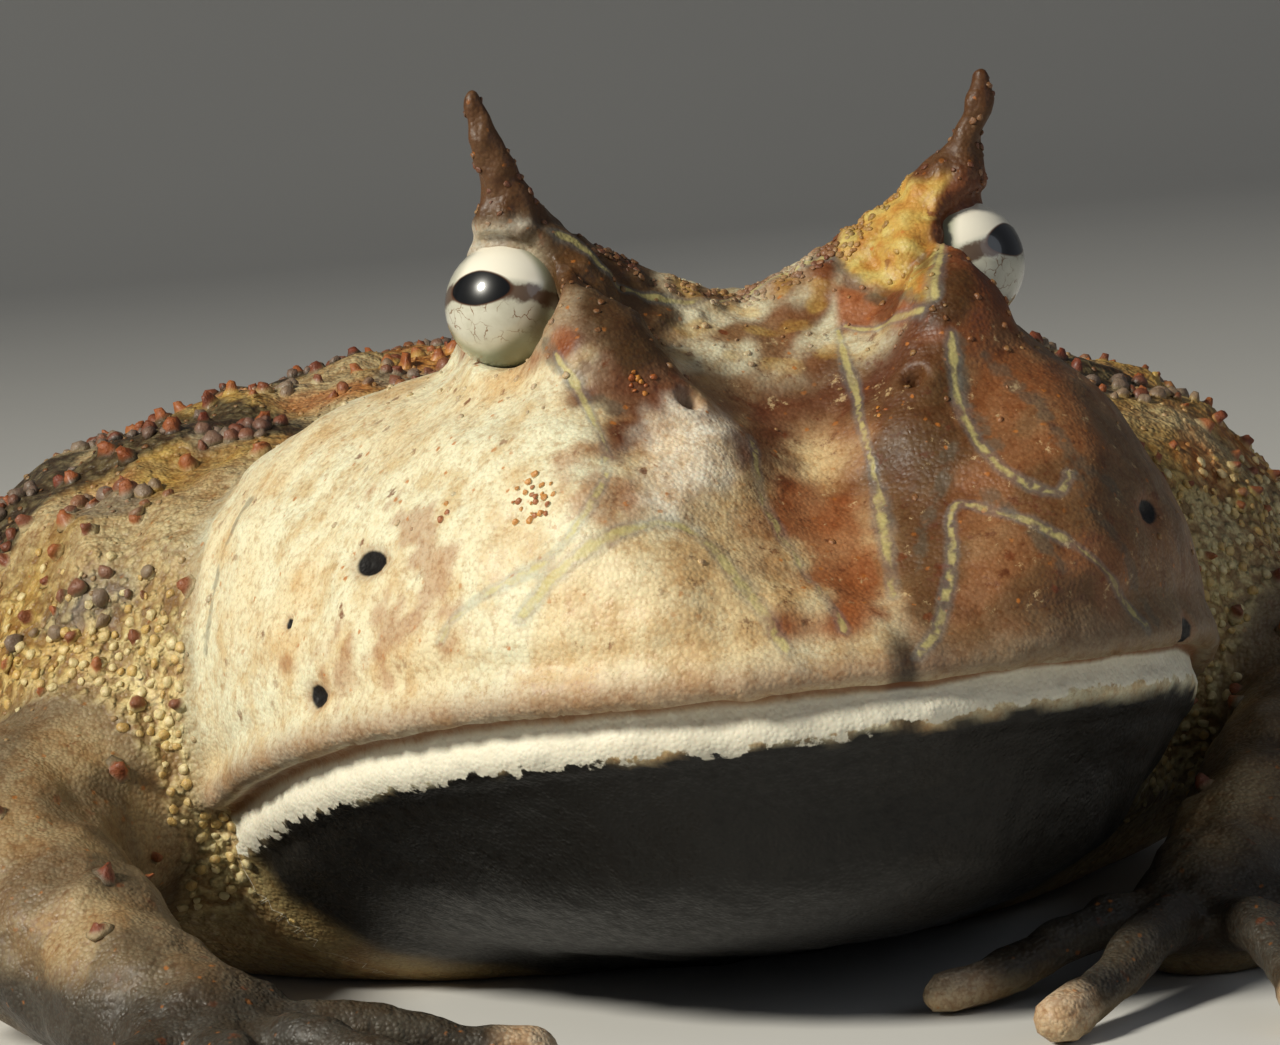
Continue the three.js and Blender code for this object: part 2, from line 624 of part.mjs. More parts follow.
const sides = { left: 1, right: -1 };
const each = (make) => Object.values(sides).map(make);
const EYE_ROWS = 10;
const eyeBall = (side, grow = 0) =>
  ball([EYE.x * side, EYE.y, EYE.z], EYE.radius + grow, [1, 1, 1], EYE_ROWS);
const armSeats = join(each((side) => upperArm(side, GAP)));
const thighSeats = join(each((side) => thigh(side, GAP)));
const shankSeats = join(each((side) => shank(side, GAP)));
const forearmSeats = join(each((side) => forearm(side, GAP)));

// Each field is meshed in a grid of its own, and runs a few millimetres past the cuts that part it.
const HEAD_GRID = [
  [-44, -56, 0],
  [44, -3, 50],
];
const JAW_GRID = [
  [-44, -56, -8],
  [44, -1, 28],
];
const TORSO_GRID = [
  [-48, -20, -9],
  [48, 62, 50],
];
const PAST = { mouth: 3, neck: 4, floor: 4 };
const neckBack = block([-FAR, NECK_Y - GAP / 2, UNDER], [FAR, FAR, FAR]);
const neckFront = block([-FAR, -FAR, UNDER], [FAR, NECK_Y + GAP / 2, FAR]);

const headBlank = fieldSolid(
  (x, y, z) => Math.max(upperField(x, y, z), mouthLine(y) - PAST.mouth - z, y - NECK_Y - PAST.neck),
  HEAD_GRID,
  HEAD_CELL,
);
const head = largest(
  join([headBlank, lip(), ...each(lidRing), ...each(nostrilRim)])
    .subtract(join(each(nostrilHole)))
    .subtract(mouthHalf(false))
    .subtract(neckBack)
    .subtract(join(each((side) => eyeBall(side, GAP))))
    .subtract(join(each(lidOpening)))
    .subtract(join(each((side) => horn(side, GAP))))
    .subtract(armSeats)
    .subtract(forearmSeats),
);
addNode("head", head, faceSkin);

function jawOf(swell) {
  const cuts = (y, z) => [z - mouthLine(y) - PAST.mouth, y - NECK_Y - PAST.neck, -PAST.floor - z];
  return fieldSolid((x, y, z) => Math.max(lowerField(x, y, z) - swell, ...cuts(y, z)), JAW_GRID, JAW_CELL);
}
const HAND_CLEARANCE = 0.4; // from the jaw
const jawSeat = jawOf(HAND_CLEARANCE);
const jawWhole = jawOf(0).subtract(mouthHalf(true)).subtract(neckBack);
addNode("jaw", settle(jawWhole.subtract(armSeats).subtract(forearmSeats)), throatSkin);

const torsoBlank = fieldSolid(
  (x, y, z) => Math.max(bodyField(x, y, z), NECK_Y - PAST.neck - y, -PAST.floor - z),
  TORSO_GRID,
  TORSO_CELL,
);
const torso = settle(
  join([torsoBlank, ...backWarts()])
    .subtract(neckFront)
    .subtract(armSeats)
    .subtract(forearmSeats)
    .subtract(thighSeats)
    .subtract(shankSeats),
);
addNode("torso", torso, backSkin);

for (const [word, side] of Object.entries(sides)) {
  addNode(`eye_${word}`, eyeBall(side), eyeGloss);
  addNode(`horn_${word}`, horn(side), faceSkin);
  addNode(`upper_arm_${word}`, settle(upperArm(side)), legSkin);
  addNode(`forearm_${word}`, settle(forearm(side).subtract(upperArm(side, GAP))), legSkin);
  addNode(`hand_${word}`, settle(hand(side).subtract(forearm(side, GAP)).subtract(jawSeat)), legSkin);
  addNode(`thigh_${word}`, settle(thigh(side)), legSkin);
  addNode(`shank_${word}`, settle(shank(side).subtract(thigh(side, GAP))), legSkin);
  const ankle = foot(side).subtract(shank(side, GAP)).subtract(thigh(side, GAP));
  addNode(`foot_${word}`, settle(ankle.subtract(torsoBlank)), legSkin);
}

// The origin is on the floor under the middle of the whole frog.
group.position.y = -ORIGIN_Y;

export default group;
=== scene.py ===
"""A life-size horned frog that sits flat on a pale floor, under soft studio light.

The frog's skin is one mesh on the zero level of a distance field, fine on the head and hands and
coarser on the belly. Its colours are worked out at its points, and its shader adds the fine grain.
Warts, granules and beads are scattered over it by Geometry Nodes, and the eyes are pieces of their own.
"""

from __future__ import annotations

import logging
import math
from collections.abc import Sequence
from dataclasses import dataclass, field
from enum import Enum

import bmesh
import bpy
import numpy as np
from mathutils import Matrix, Vector

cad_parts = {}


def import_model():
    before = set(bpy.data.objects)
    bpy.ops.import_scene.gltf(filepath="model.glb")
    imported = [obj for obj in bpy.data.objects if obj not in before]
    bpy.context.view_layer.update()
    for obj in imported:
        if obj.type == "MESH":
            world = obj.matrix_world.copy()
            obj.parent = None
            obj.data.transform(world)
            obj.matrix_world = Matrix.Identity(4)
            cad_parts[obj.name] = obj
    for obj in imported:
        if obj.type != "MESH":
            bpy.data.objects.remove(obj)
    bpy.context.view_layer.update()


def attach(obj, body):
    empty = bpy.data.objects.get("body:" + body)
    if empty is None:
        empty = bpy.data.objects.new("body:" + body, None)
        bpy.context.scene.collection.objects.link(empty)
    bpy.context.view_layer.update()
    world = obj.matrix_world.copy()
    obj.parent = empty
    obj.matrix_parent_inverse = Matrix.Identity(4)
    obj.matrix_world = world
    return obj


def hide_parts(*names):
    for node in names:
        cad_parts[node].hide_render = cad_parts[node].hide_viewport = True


LOG = logging.getLogger("frog")
Array = np.ndarray
Triple = tuple[float, float, float]
Node = bpy.types.Node
Socket = bpy.types.NodeSocket

MM = 0.001  # every size of the frog's form is in millimetres, and Blender's unit is the metre
ORIGIN_Y = 1.3  # the form's y that lies over the origin
LIT_POINT = (0, -0.01, 0.02)  # the point in metres that the lamps face
HIGHLIGHT_PATCH = 3  # which of the face's patches is the painted highlight on the snout's right swelling, and stays free of mottling
GOLDEN_LID = 2  # which of the lids' patches is the golden one
NO_LIP = 30.0  # the lip's measure where there is no lip
NO_LINE = 9.0  # the distance to a line or vein where there is none
OUT_OF_REACH = 30.0  # the distance to a limb or horn that is well away
FAR = 99.0  # further than any distance that counts
RIPPLE_HEIGHT = 0.62  # keeps the sum of waves between about -1 and 1


class Side(Enum):
    """The frog's own left and right."""

    LEFT = 1
    RIGHT = -1

    @property
    def word(self) -> str:
        """The side's name as the frame's nodes spell it."""
        return self.name.lower()


class Grain(Enum):
    """How many times a stretch of the skin's mesh is halved."""

    COARSE = 0
    MIDDLE = 1
    FINE = 2


# Arithmetic on arrays of points


def smooth_join(a: Array, b: Array, width: float) -> Array:
    """Joins two distances with a round fillet.

    Args:
        a: The first distance at each point.
        b: The second distance at each point.
        width: The fillet's width in millimetres.

    Returns:
        The joined distance at each point.
    """
    share = np.clip(0.5 + 0.5 * (b - a) / width, 0.0, 1.0)
    return b + (a - b) * share - width * share * (1.0 - share)


def ellipsoid(points: Array, centre: Sequence[float], radii: Sequence[float]) -> Array:
    """Distance to an ellipsoid, exact near its surface.

    Args:
        points: Points as rows.
        centre: The ellipsoid's middle.
        radii: Its three radii.

    Returns:
        The distance at each point.
    """
    unit = (points - np.asarray(centre)) / np.asarray(radii)
    near = np.linalg.norm(unit, axis=1)
    steep = np.maximum(np.linalg.norm(unit / np.asarray(radii), axis=1), 1e-9)
    return near * (near - 1.0) / steep


def rod(points: Array, start: Sequence[float], end: Sequence[float], r_start: float, r_end: float) -> Array:
    """Distance to a rod whose radius changes evenly.

    Args:
        points: Points as rows.
        start: The rod's first end.
        end: Its second end.
        r_start: Its radius at the first end.
        r_end: Its radius at the second end.

    Returns:
        The distance at each point.
    """
    a = np.asarray(start, float)
    along = np.asarray(end, float) - a
    share = np.clip((points - a) @ along / float(along @ along), 0.0, 1.0)
    return np.linalg.norm(points - a - share[:, None] * along, axis=1) - (r_start + (r_end - r_start) * share)


def ramp(values: Array, low: float, high: float) -> Array:
    """A smooth step from 0 at low to 1 at high, or the other way round when high is the smaller."""
    share = np.clip((values - low) / (high - low), 0.0, 1.0)
    return share * share * (3.0 - 2.0 * share)


def bell(values: Array, middle: float, width: float) -> Array:
    """A bell curve of height 1 round middle."""
    return np.exp(-(((values - middle) / width) ** 2))


def ripples(points: Array, wavelength: float, seed: int, waves: int = 28) -> Array:
    """Smooth noise between about -1 and 1, as the sum of plane waves in random directions.

    Args:
        points: Points as rows.
        wavelength: The waves' mean length in millimetres.
        seed: Fixes the waves.
        waves: How many there are.

    Returns:
        The noise at each point.
    """
    generator = np.random.default_rng(seed)
    directions = generator.normal(size=(waves, 3))
    directions /= np.linalg.norm(directions, axis=1)[:, None]
    numbers = 2.0 * math.pi / (wavelength * generator.uniform(0.7, 1.5, waves))
    phases = generator.uniform(0.0, 2.0 * math.pi, waves)
    total = np.zeros(len(points))
    for direction, number, phase in zip(directions, numbers, phases):
        total += np.sin(points @ direction * number + phase)
    return total / math.sqrt(waves * 0.5) * RIPPLE_HEIGHT


def smooth_path(points: Sequence[Sequence[float]], steps: int) -> Array:
    """Points on a smooth curve through the given ones.

    Args:
        points: The points that the curve passes, two or more.
        steps: How many points lie on each stretch.

    Returns:
        The curve's points as rows.
    """
    knots = np.asarray(points, float)
    knots = np.vstack([2 * knots[0] - knots[1], knots, 2 * knots[-1] - knots[-2]])
    rows = []
    for n in range(1, len(knots) - 2):
        a, b, c, d = knots[n - 1 : n + 3]
        for t in np.linspace(0.0, 1.0, steps, endpoint=False):
            square = (2 * a - 5 * b + 4 * c - d) * t**2
            cube = (3 * b - a - 3 * c + d) * t**3
            rows.append(0.5 * (2 * b + (c - a) * t + square + cube))
    rows.append(knots[-2])
    return np.array(rows)


def distance_to_path(points: Array, path: Array) -> Array:
    """The distance from each point to the nearest stretch of a path.

    Args:
        points: Points as rows.
        path: The path's points as rows.

    Returns:
        The distance at each point.
    """
    best = np.full(len(points), FAR)
    for start, end in zip(path[:-1], path[1:]):
        best = np.minimum(best, rod(points, start, end, 0.0, 0.0))
    return best


def mirrored(points: Array) -> Array:
    """The points folded over to the frog's left side.

    Args:
        points: Points as rows.

    Returns:
        The folded points.
    """
    folded = points.copy()
    folded[:, 0] = np.abs(folded[:, 0])
    return folded


# The frog's form


@dataclass(frozen=True)
class Limb:
    """A stretch of an arm or leg, or a digit: a chain of rods along a smooth path."""

    path: tuple[Triple, ...]
    radii: tuple[float, ...]
    steps: int = 3

    def distance(self, points: Array) -> Array:
        """The distance to the limb, or a large number well away from it.

        Args:
            points: Points as rows.

        Returns:
            The distance at each point.
        """
        centres = smooth_path(self.path, self.steps)
        knots = np.linspace(0.0, 1.0, len(self.radii))
        radii = np.interp(np.linspace(0.0, 1.0, len(centres)), knots, self.radii)
        reach = max(self.radii) + 5.0
        near = np.all((points > centres.min(0) - reach) & (points < centres.max(0) + reach), axis=1)
        result = np.full(len(points), OUT_OF_REACH)
        if near.any():
            close = points[near]
            best = np.full(len(close), OUT_OF_REACH)
            for a, b, ra, rb in zip(centres[:-1], centres[1:], radii[:-1], radii[1:]):
                best = np.minimum(best, rod(close, a, b, ra, rb))
            result[near] = best
        return result


@dataclass(frozen=True)
class Digit:
    """A finger or toe by its direction from straight ahead towards the midline, its length and its radius."""

    turn: float
    reach: float
    thick: float


@dataclass
class FrogForm:
    """The whole frog as a distance field in millimetres, before its origin is moved to its middle."""

    snout_y: float = -50.0
    skull_y: float = -16.0
    lip_z: float = 18.0
    mouth_drop: float = 7.8
    mouth_reach: float = 36.0
    mouth_bend: float = 1.6
    skull: Triple = (27.5, 34.0, 22.7)
    eye: Triple = (12.1, -26.3, 36.8)
    eye_radius: float = 3.3
    gaze: Triple = (0.8, -0.55, 0.2)
    lid_opening: Triple = (0.42, -0.84, 0.14)
    lid_cap: Triple = (11.3, -25.6, 39.0)
    lid_cap_radii: Triple = (2.5, 2.2, 2.3)
    horn_z: float = 41.0
    right_horn_stretch: float = 0.84
    right_horn_aside: float = -0.3
    left_tuck: float = 2.2
    horn_growth: float = 0.0
    nostril: Triple = (5.8, -37.0, 31.8)
    fingers: tuple[Digit, ...] = (
        Digit(70, 16.5, 1.15),
        Digit(36, 19.5, 1.2),
        Digit(-2, 19.0, 1.2),
        Digit(-46, 13.5, 1.1),
    )
    toes: tuple[Digit, ...] = (
        Digit(62, 8.5, 1.35),
        Digit(36, 12.0, 1.4),
        Digit(12, 16.0, 1.45),
        Digit(-12, 19.5, 1.45),
        Digit(-40, 13.0, 1.35),
    )
    hand_turn: dict[Side, float] = field(default_factory=lambda: {Side.LEFT: 8.0, Side.RIGHT: 4.0})
    foot_heading: float = -16.0
    arms: dict[Side, tuple[Triple, Triple, Triple, Triple]] = field(
        default_factory=lambda: {
            Side.LEFT: ((27, -4, 13), (38, -12.5, 9), (23.9, -30.0, 4.4), (20.5, -34.0, 3.1)),
            Side.RIGHT: ((27, -4, 13), (40, -14, 9), (34.8, -30.8, 4.4), (32.4, -34.7, 3.1)),
        }
    )
    hip: Triple = (15, 41, 13)
    knee: Triple = (45, 19, 11)
    heel: Triple = (30, 50, 6)
    sole: Triple = (40, 42.5, 3.0)

    def mouth_line(self, y: Array) -> Array:
        """The height of the mouth's line at each distance back from the snout."""
        back = np.maximum(y - self.snout_y, 0.0) / self.mouth_reach
        return self.lip_z - self.mouth_drop * back**self.mouth_bend

    def height_over_mouth(self, points: Array) -> Array:
        """How far each point lies above the mouth's line."""
        return points[:, 2] - self.mouth_line(points[:, 1])

    def head_side(self, points: Array) -> Array:
        """The points folded to one side for the head, whose left cheek is drawn in a little.

        Args:
            points: Points as rows.

        Returns:
            The folded points.
        """
        folded = mirrored(points)
        folded[:, 0] += self.left_tuck * ramp(points[:, 0], 12.0, 25.0)
        return folded

    def upper_head(self, p: Array) -> Array:
        """The distance to the head above the mouth, for points folded to one side.

        Args:
            p: Points folded to one side, as rows.

        Returns:
            The distance at each point.
        """
        lifted = p.copy()
        lifted[:, 2] = self.height_over_mouth(p)
        d = ellipsoid(lifted, (0, self.skull_y, 1.0), self.skull)
        slope = math.radians(35.5)
        plane = math.cos(slope) * (p[:, 2] - 21.2) - math.sin(slope) * (p[:, 1] + 47.6)
        d = -smooth_join(-d, -(plane - 0.03 * p[:, 0] ** 2), 3.5)
        d = smooth_join(d, ellipsoid(p, (15.0, -13.5, 20.0), (12.4, 14.5, 12.2)), 5.0)
        d = smooth_join(d, ellipsoid(p, (9.6, -25.4, 33.0), (3.9, 5.4, 4.4)), 3.0)
        peak = (12.0, -26.5, 41.0)
        brow = rod(p, (3.2, -25.2, 35.4), peak, 1.4, 0.8)
        brow = smooth_join(brow, rod(p, (7.6, -25.4, 33.6), (10.0, -25.0, 37.7), 4.1, 2.5), 1.6)
        brow = smooth_join(brow, rod(p, (9.0, -33.6, 34.0), peak, 1.4, 0.8), 1.6)
        brow = smooth_join(brow, rod(p, (11.2, -19.0, 33.8), peak, 2.1, 0.8), 1.6)
        d = smooth_join(d, brow, 2.4)
        return smooth_join(d, rod(p, (5.6, -36.5, 28.6), (9.0, -33.6, 34.2), 1.7, 1.6), 4.0)

    def jaw(self, p: Array) -> Array:
        """The distance to the lower jaw and throat, for points folded to one side.

        Args:
            p: Points folded to one side, as rows.

        Returns:
            The distance at each point.
        """
        lifted = p.copy()
        lifted[:, 2] = self.height_over_mouth(p)
        radii = (self.skull[0] - 1.3, self.skull[1] - 0.7, 9.5)
        rim = ellipsoid(lifted, (0, self.skull_y + 0.6, -1.5), radii)
        return smooth_join(rim, ellipsoid(p, (0, -22, 10.5), (19, 23, 8.2)), 4.0)

    def torso(self, p: Array) -> Array:
        """The distance to the trunk, for points folded to one side.

        Args:
            p: Points folded to one side, as rows.

        Returns:
            The distance at each point.
        """
        d = ellipsoid(p, (0, 16, 14), (43, 37, 19))
        d = smooth_join(d, ellipsoid(p, (0, 14, 7.5), (41, 34, 10.5)), 6.0)
        d = smooth_join(d, ellipsoid(p, (25, 4, 18), (13, 17, 10)), 7.0)
        return smooth_join(d, ellipsoid(p, (0, 44, 12), (20, 13.5, 11.5)), 8.0)

    def horn_side(self, points: Array) -> Array:
        """The points folded to one side for the horns, of which the right one is a little longer.

        Args:
            points: Points as rows.

        Returns:
            The folded points.
        """
        folded = mirrored(points)
        right = points[:, 0] < 0
        over = np.maximum(points[:, 2] - self.horn_z, 0.0)
        folded[:, 0] -= right * self.right_horn_aside * ramp(over, 0.0, 2.0)
        folded[:, 2] -= right * (1.0 - self.right_horn_stretch) * over
        return folded

    def horn(self, p: Array) -> Array:
        """The distance to the horn on the eyelid, for points folded to one side.

        Args:
            p: Points folded to one side, as rows.

        Returns:
            The distance at each point.
        """
        knots = ((11.7, -26.4, 40.2), (12.4, -26.8, 42.6), (13.2, -27.2, 44.7), (13.6, -27.0, 46.4))
        path = smooth_path(knots, 3)
        shares, widths = (0.0, 0.3, 0.6, 0.85, 1.0), (1.5, 1.0, 0.74, 0.54, 0.36)
        radii = np.interp(np.linspace(0, 1, len(path)), shares, widths) + self.horn_growth
        best = np.full(len(p), OUT_OF_REACH)
        for a, b, ra, rb in zip(path[:-1], path[1:], radii[:-1], radii[1:]):
            best = np.minimum(best, rod(p, a, b, ra, rb))
        return best

    def lids(self, p: Array) -> Array:
        """The distance to the rim of the lids round the eye, for points folded to one side.

        Args:
            p: Points folded to one side, as rows.

        Returns:
            The distance at each point.
        """
        gaze = np.array(self.gaze) / np.linalg.norm(self.gaze)
        away = p - (np.array(self.eye) - 0.75 * gaze)
        along = away @ gaze
        out = np.sqrt(np.maximum((away**2).sum(1) - along**2, 0.0))
        return np.hypot(out - self.eye_radius - 0.05, along) - 0.55

    def digits(self, root: Triple, listed: Sequence[Digit], heading: float, knuckle: float) -> list[Limb]:
        """Fingers or toes as limbs on the frog's left side.

        Args:
            root: Where they leave the hand or foot.
            listed: The fingers or toes.
            heading: How far the hand or foot is turned towards the midline, in degrees.
            knuckle: How high the knuckles stand.

        Returns:
            One limb for each.
        """
        made = []
        for digit in listed:
            thick = digit.thick
            angle = math.radians(digit.turn + heading)
            out = (-math.sin(angle), -math.cos(angle))
            spots = (
                (0.06, root[2], 0),
                (0.4, knuckle, 0.5),
                (0.72, thick + 0.75, 0.4),
                (0.95, thick - 0.1, 0),
            )
            path = tuple(
                (
                    root[0] + out[0] * digit.reach * share - out[1] * bend,
                    root[1] + out[1] * digit.reach * share + out[0] * bend,
                    z,
                )
                for share, z, bend in spots
            )
            made.append(Limb(path, (thick * 1.35, thick * 1.12, thick * 0.92, thick * 1.12)))
        return made

    def arm(self, side: Side) -> list[tuple[Limb, float]]:
        """Each stretch of an arm and hand, on the left side, with the width of its fillet.

        Args:
            side: Which arm.

        Returns:
            Each stretch with the width of its fillet.
        """
        shoulder, elbow, wrist, palm = self.arms[side]
        pad = ((palm[0] - 1.6, palm[1] - 1.2, 2.4), (palm[0] + 0.8, palm[1] - 1.2, 2.4))
        pieces = [
            (Limb((shoulder, elbow), (7.6, 6.6, 5.9)), 3.0),
            (Limb((elbow, wrist), (5.6, 5.5, 3.7)), 2.0),
            (Limb((wrist, palm), (3.6, 3.4)), 2.0),
            (Limb(pad, (2.9, 2.9)), 2.5),
        ]
        return pieces + [(limb, 1.3) for limb in self.hand(side)]

    def hand(self, side: Side) -> list[Limb]:
        """The fingers of one hand, on the left side."""
        palm = self.arms[side][3]
        return self.digits((palm[0] - 0.4, palm[1] - 1.0, 2.7), self.fingers, self.hand_turn[side], 3.3)

    def foot(self) -> list[Limb]:
        """The toes of a foot, on the left side."""
        root = (self.sole[0] + 0.3, self.sole[1] - 1.0, 2.5)
        return self.digits(root, self.toes, self.foot_heading, 2.7)

    def leg(self) -> list[tuple[Limb, float]]:
        """Each stretch of a hind leg and foot, on the left side, with the width of its fillet.

        Returns:
            Each stretch with the width of its fillet.
        """
        hip, knee, heel, sole = (np.array(v, float) for v in (self.hip, self.knee, self.heel, self.sole))
        middle = tuple((hip + knee) / 2 + (1.0, 0.5, 1.0))
        calf = tuple(knee + (heel - knee) * 0.42 + (4.2, -1.0, -0.4))
        start = tuple(knee + (2.2, 0.0, -2.6))
        instep = tuple(heel + (sole - heel) * 0.6)
        pad = ((sole[0], sole[1] - 1.5, 2.2), (sole[0] + 1.0, sole[1] - 1.5, 2.2))
        pieces = [
            (Limb((self.hip, middle, self.knee), (10.5, 10.2, 7.2)), 2.2),
            (Limb((start, calf, self.heel), (6.4, 6.9, 4.4)), 1.0),
            (Limb((self.heel, instep, self.sole), (4.2, 3.7, 3.2)), 1.2),
            (Limb(pad, (2.9, 2.9)), 1.6),
        ]
        return pieces + [(limb, 2.0) for limb in self.foot()]

    def trunk(self, points: Array) -> Array:
        """The distance to the head, jaw, trunk, lids and horns.

        Args:
            points: Points as rows.

        Returns:
            The distance at each point.
        """
        p = mirrored(points)
        q = self.head_side(points)
        torso = self.torso(p)
        upper = smooth_join(self.upper_head(q), torso, 4.0)
        lower = smooth_join(self.jaw(q), torso, 4.0)
        share = np.clip(0.5 + self.height_over_mouth(p) / 1.2, 0.0, 1.0)
        d = lower + (upper - lower) * share
        d = smooth_join(d, self.horn(self.horn_side(points)), 1.2)
        d = smooth_join(d, self.lids(p), 0.7)
        opening = np.array(self.lid_opening) / np.linalg.norm(self.lid_opening)
        mouth_of_lids = np.array(self.eye) + 4.0 * opening
        ball = rod(p, self.eye, mouth_of_lids, self.eye_radius + 0.02, self.eye_radius + 0.5)
        d = -smooth_join(-d, ball, 0.25)
        d = smooth_join(d, ellipsoid(p, self.lid_cap, self.lid_cap_radii), 0.35)
        return smooth_join(d, rod(p, (8.7, -28.4, 37.2), (10.4, -26.3, 40.2), 1.5, 1.3), 0.8)

    def distance(self, points: Array) -> Array:
        """The distance to the whole skin, flat where it rests on the floor.

        Args:
            points: Points as rows.

        Returns:
            The distance at each point.
        """
        d = self.trunk(points)
        legs = self.leg()
        for side in Side:
            turned = points * np.array([side.value, 1.0, 1.0])
            near = np.nonzero(turned[:, 0] > 2.0)[0]
            close = turned[near]
            part = d[near]
            for limb, fillet in self.arm(side) + legs:
                part = smooth_join(part, limb.distance(close), fillet)
            d[near] = part
        return -smooth_join(-d, points[:, 2], 0.5)

    def slope(self, points: Array) -> Array:
        """The field's unit gradient at each point.

        Args:
            points: Points as rows.

        Returns:
            The gradient at each point, of length 1.
        """
        step = 0.06
        columns = []
        for axis in range(3):
            shift = np.zeros(3)
            shift[axis] = step
            columns.append(self.distance(points + shift) - self.distance(points - shift))
        gradient = np.stack(columns, axis=1)
        return gradient / np.maximum(np.linalg.norm(gradient, axis=1), 1e-9)[:, None]

    def settle(self, points: Array, rounds: int = 2) -> Array:
        """Moves points along the field's slope onto the skin.

        Args:
            points: Points as rows.
            rounds: How often they are moved.

        Returns:
            The moved points.
        """
        for _ in range(rounds):
            step = np.clip(self.distance(points), -0.6, 0.6)
            points = points - self.slope(points) * step[:, None]
        return points


# Mesh tools


def contour(values: Array, low: Array, cell: float) -> tuple[Array, Array]:
    """A closed mesh of quads on the zero level of a grid of distances, with one vertex in each crossed cell.

    Args:
        values: The distance at each grid point.
        low: The grid's lowest corner.
        cell: The grid's step.

    Returns:
        The vertices and the quads as rows.
    """
    inside = values < 0
    count = np.array(values.shape) - 1
    total = np.zeros((*count, 3))
    crossings = np.zeros(count)
    for axis in range(3):
        others = [n for n in range(3) if n != axis]
        for b in (0, 1):
            for c in (0, 1):
                start = [0, 0, 0]
                start[others[0]], start[others[1]] = b, c
                end = list(start)
                end[axis] = 1
                first = tuple(slice(s, s + n) for s, n in zip(start, count))
                second = tuple(slice(s, s + n) for s, n in zip(end, count))
                crossed = inside[first] != inside[second]
                gap = values[first] - values[second]
                share = np.where(crossed, values[first] / np.where(crossed, gap, 1.0), 0.0)
                for n in range(3):
                    total[..., n] += np.where(crossed, start[n] + (share if n == axis else 0.0), 0.0)
                crossings += crossed
    active = crossings > 0
    index = np.full(count, -1)
    index[active] = np.arange(int(active.sum()))
    where = np.argwhere(active)
    vertices = low + (where + total[active] / crossings[active][:, None]) * cell
    quads = []
    for axis in range(3):
        step = np.zeros(3, int)
        step[axis] = 1
        u, w = np.roll(step, 1), np.roll(step, 2)
        last = np.array(values.shape) - 1 - step
        grid = inside[tuple(slice(1, end) for end in last)]
        ahead = inside[tuple(slice(1 + s, end + s) for s, end in zip(step, last))]
        spots = np.argwhere(grid != ahead) + 1
        here = inside[tuple(spots.T)]
        corners = [index[tuple((spots - a * u - b * w).T)] for a, b in ((0, 0), (1, 0), (1, 1), (0, 1))]
        quad = np.stack(corners, axis=1)
        quads.append(np.where(here[:, None], quad, quad[:, ::-1]))
    return vertices, np.vstack(quads)


def mesh_object(name: str, vertices: Array, faces: Array | Sequence[Sequence[int]]) -> bpy.types.Object:
    """A new object in the scene from vertices in metres and faces.

    Args:
        name: The object's name.
        vertices: The vertices as rows.
        faces: Each face's vertices by number.

    Returns:
        The object.
    """
    mesh = bpy.data.meshes.new(name)
    mesh.from_pydata(np.asarray(vertices).tolist(), [], [list(map(int, face)) for face in faces])
    mesh.update()
    made = bpy.data.objects.new(name, mesh)
    bpy.context.scene.collection.objects.link(made)
    return made


def store(mesh: bpy.types.Mesh, name: str, values: Array) -> None:
    """Stores a number or a colour for each vertex as a named attribute.

    Args:
        mesh: The mesh.
        name: The attribute's name.
        values: A number or a colour for each vertex.
    """
    if values.ndim == 1:
        mesh.attributes.new(name, "FLOAT", "POINT").data.foreach_set("value", values.astype(np.float32))
        return
    rows = np.ones((len(values), 4), np.float32)
    rows[:, :3] = values
    mesh.attributes.new(name, "FLOAT_COLOR", "POINT").data.foreach_set("color", rows.ravel())


def to_row(points: Array) -> Array:
    """The form's millimetres as metres in the frame."""
    return (points - np.array([0.0, ORIGIN_Y, 0.0])) * MM


def linear(code: str) -> Array:
    """A colour written as six hexadecimal digits, as linear red, green and blue."""
    shares = np.array([int(code[n : n + 2], 16) for n in (0, 2, 4)]) / 255.0
    return np.where(shares <= 0.04045, shares / 12.92, ((shares + 0.055) / 1.055) ** 2.4)


def tint(base: Array, colour: Array, share: Array | float) -> Array:
    """Mixes a colour over the base by a share, one for all or one at each point."""
    return base + (colour - base) * np.clip(share, 0.0, 1.0).reshape(-1, 1)


def coated(base: Array, *coats: tuple[Array, Array | float]) -> Array:
    """Lays colours over a base in turn.

    Args:
        base: One colour for all points, or one for each.
        *coats: Each colour with its share, one for all points or one for each.

    Returns:
        The colour at each point.
    """
    for colour, share in coats:
        base = tint(base, colour, share)
    return base


# Colours of the skin


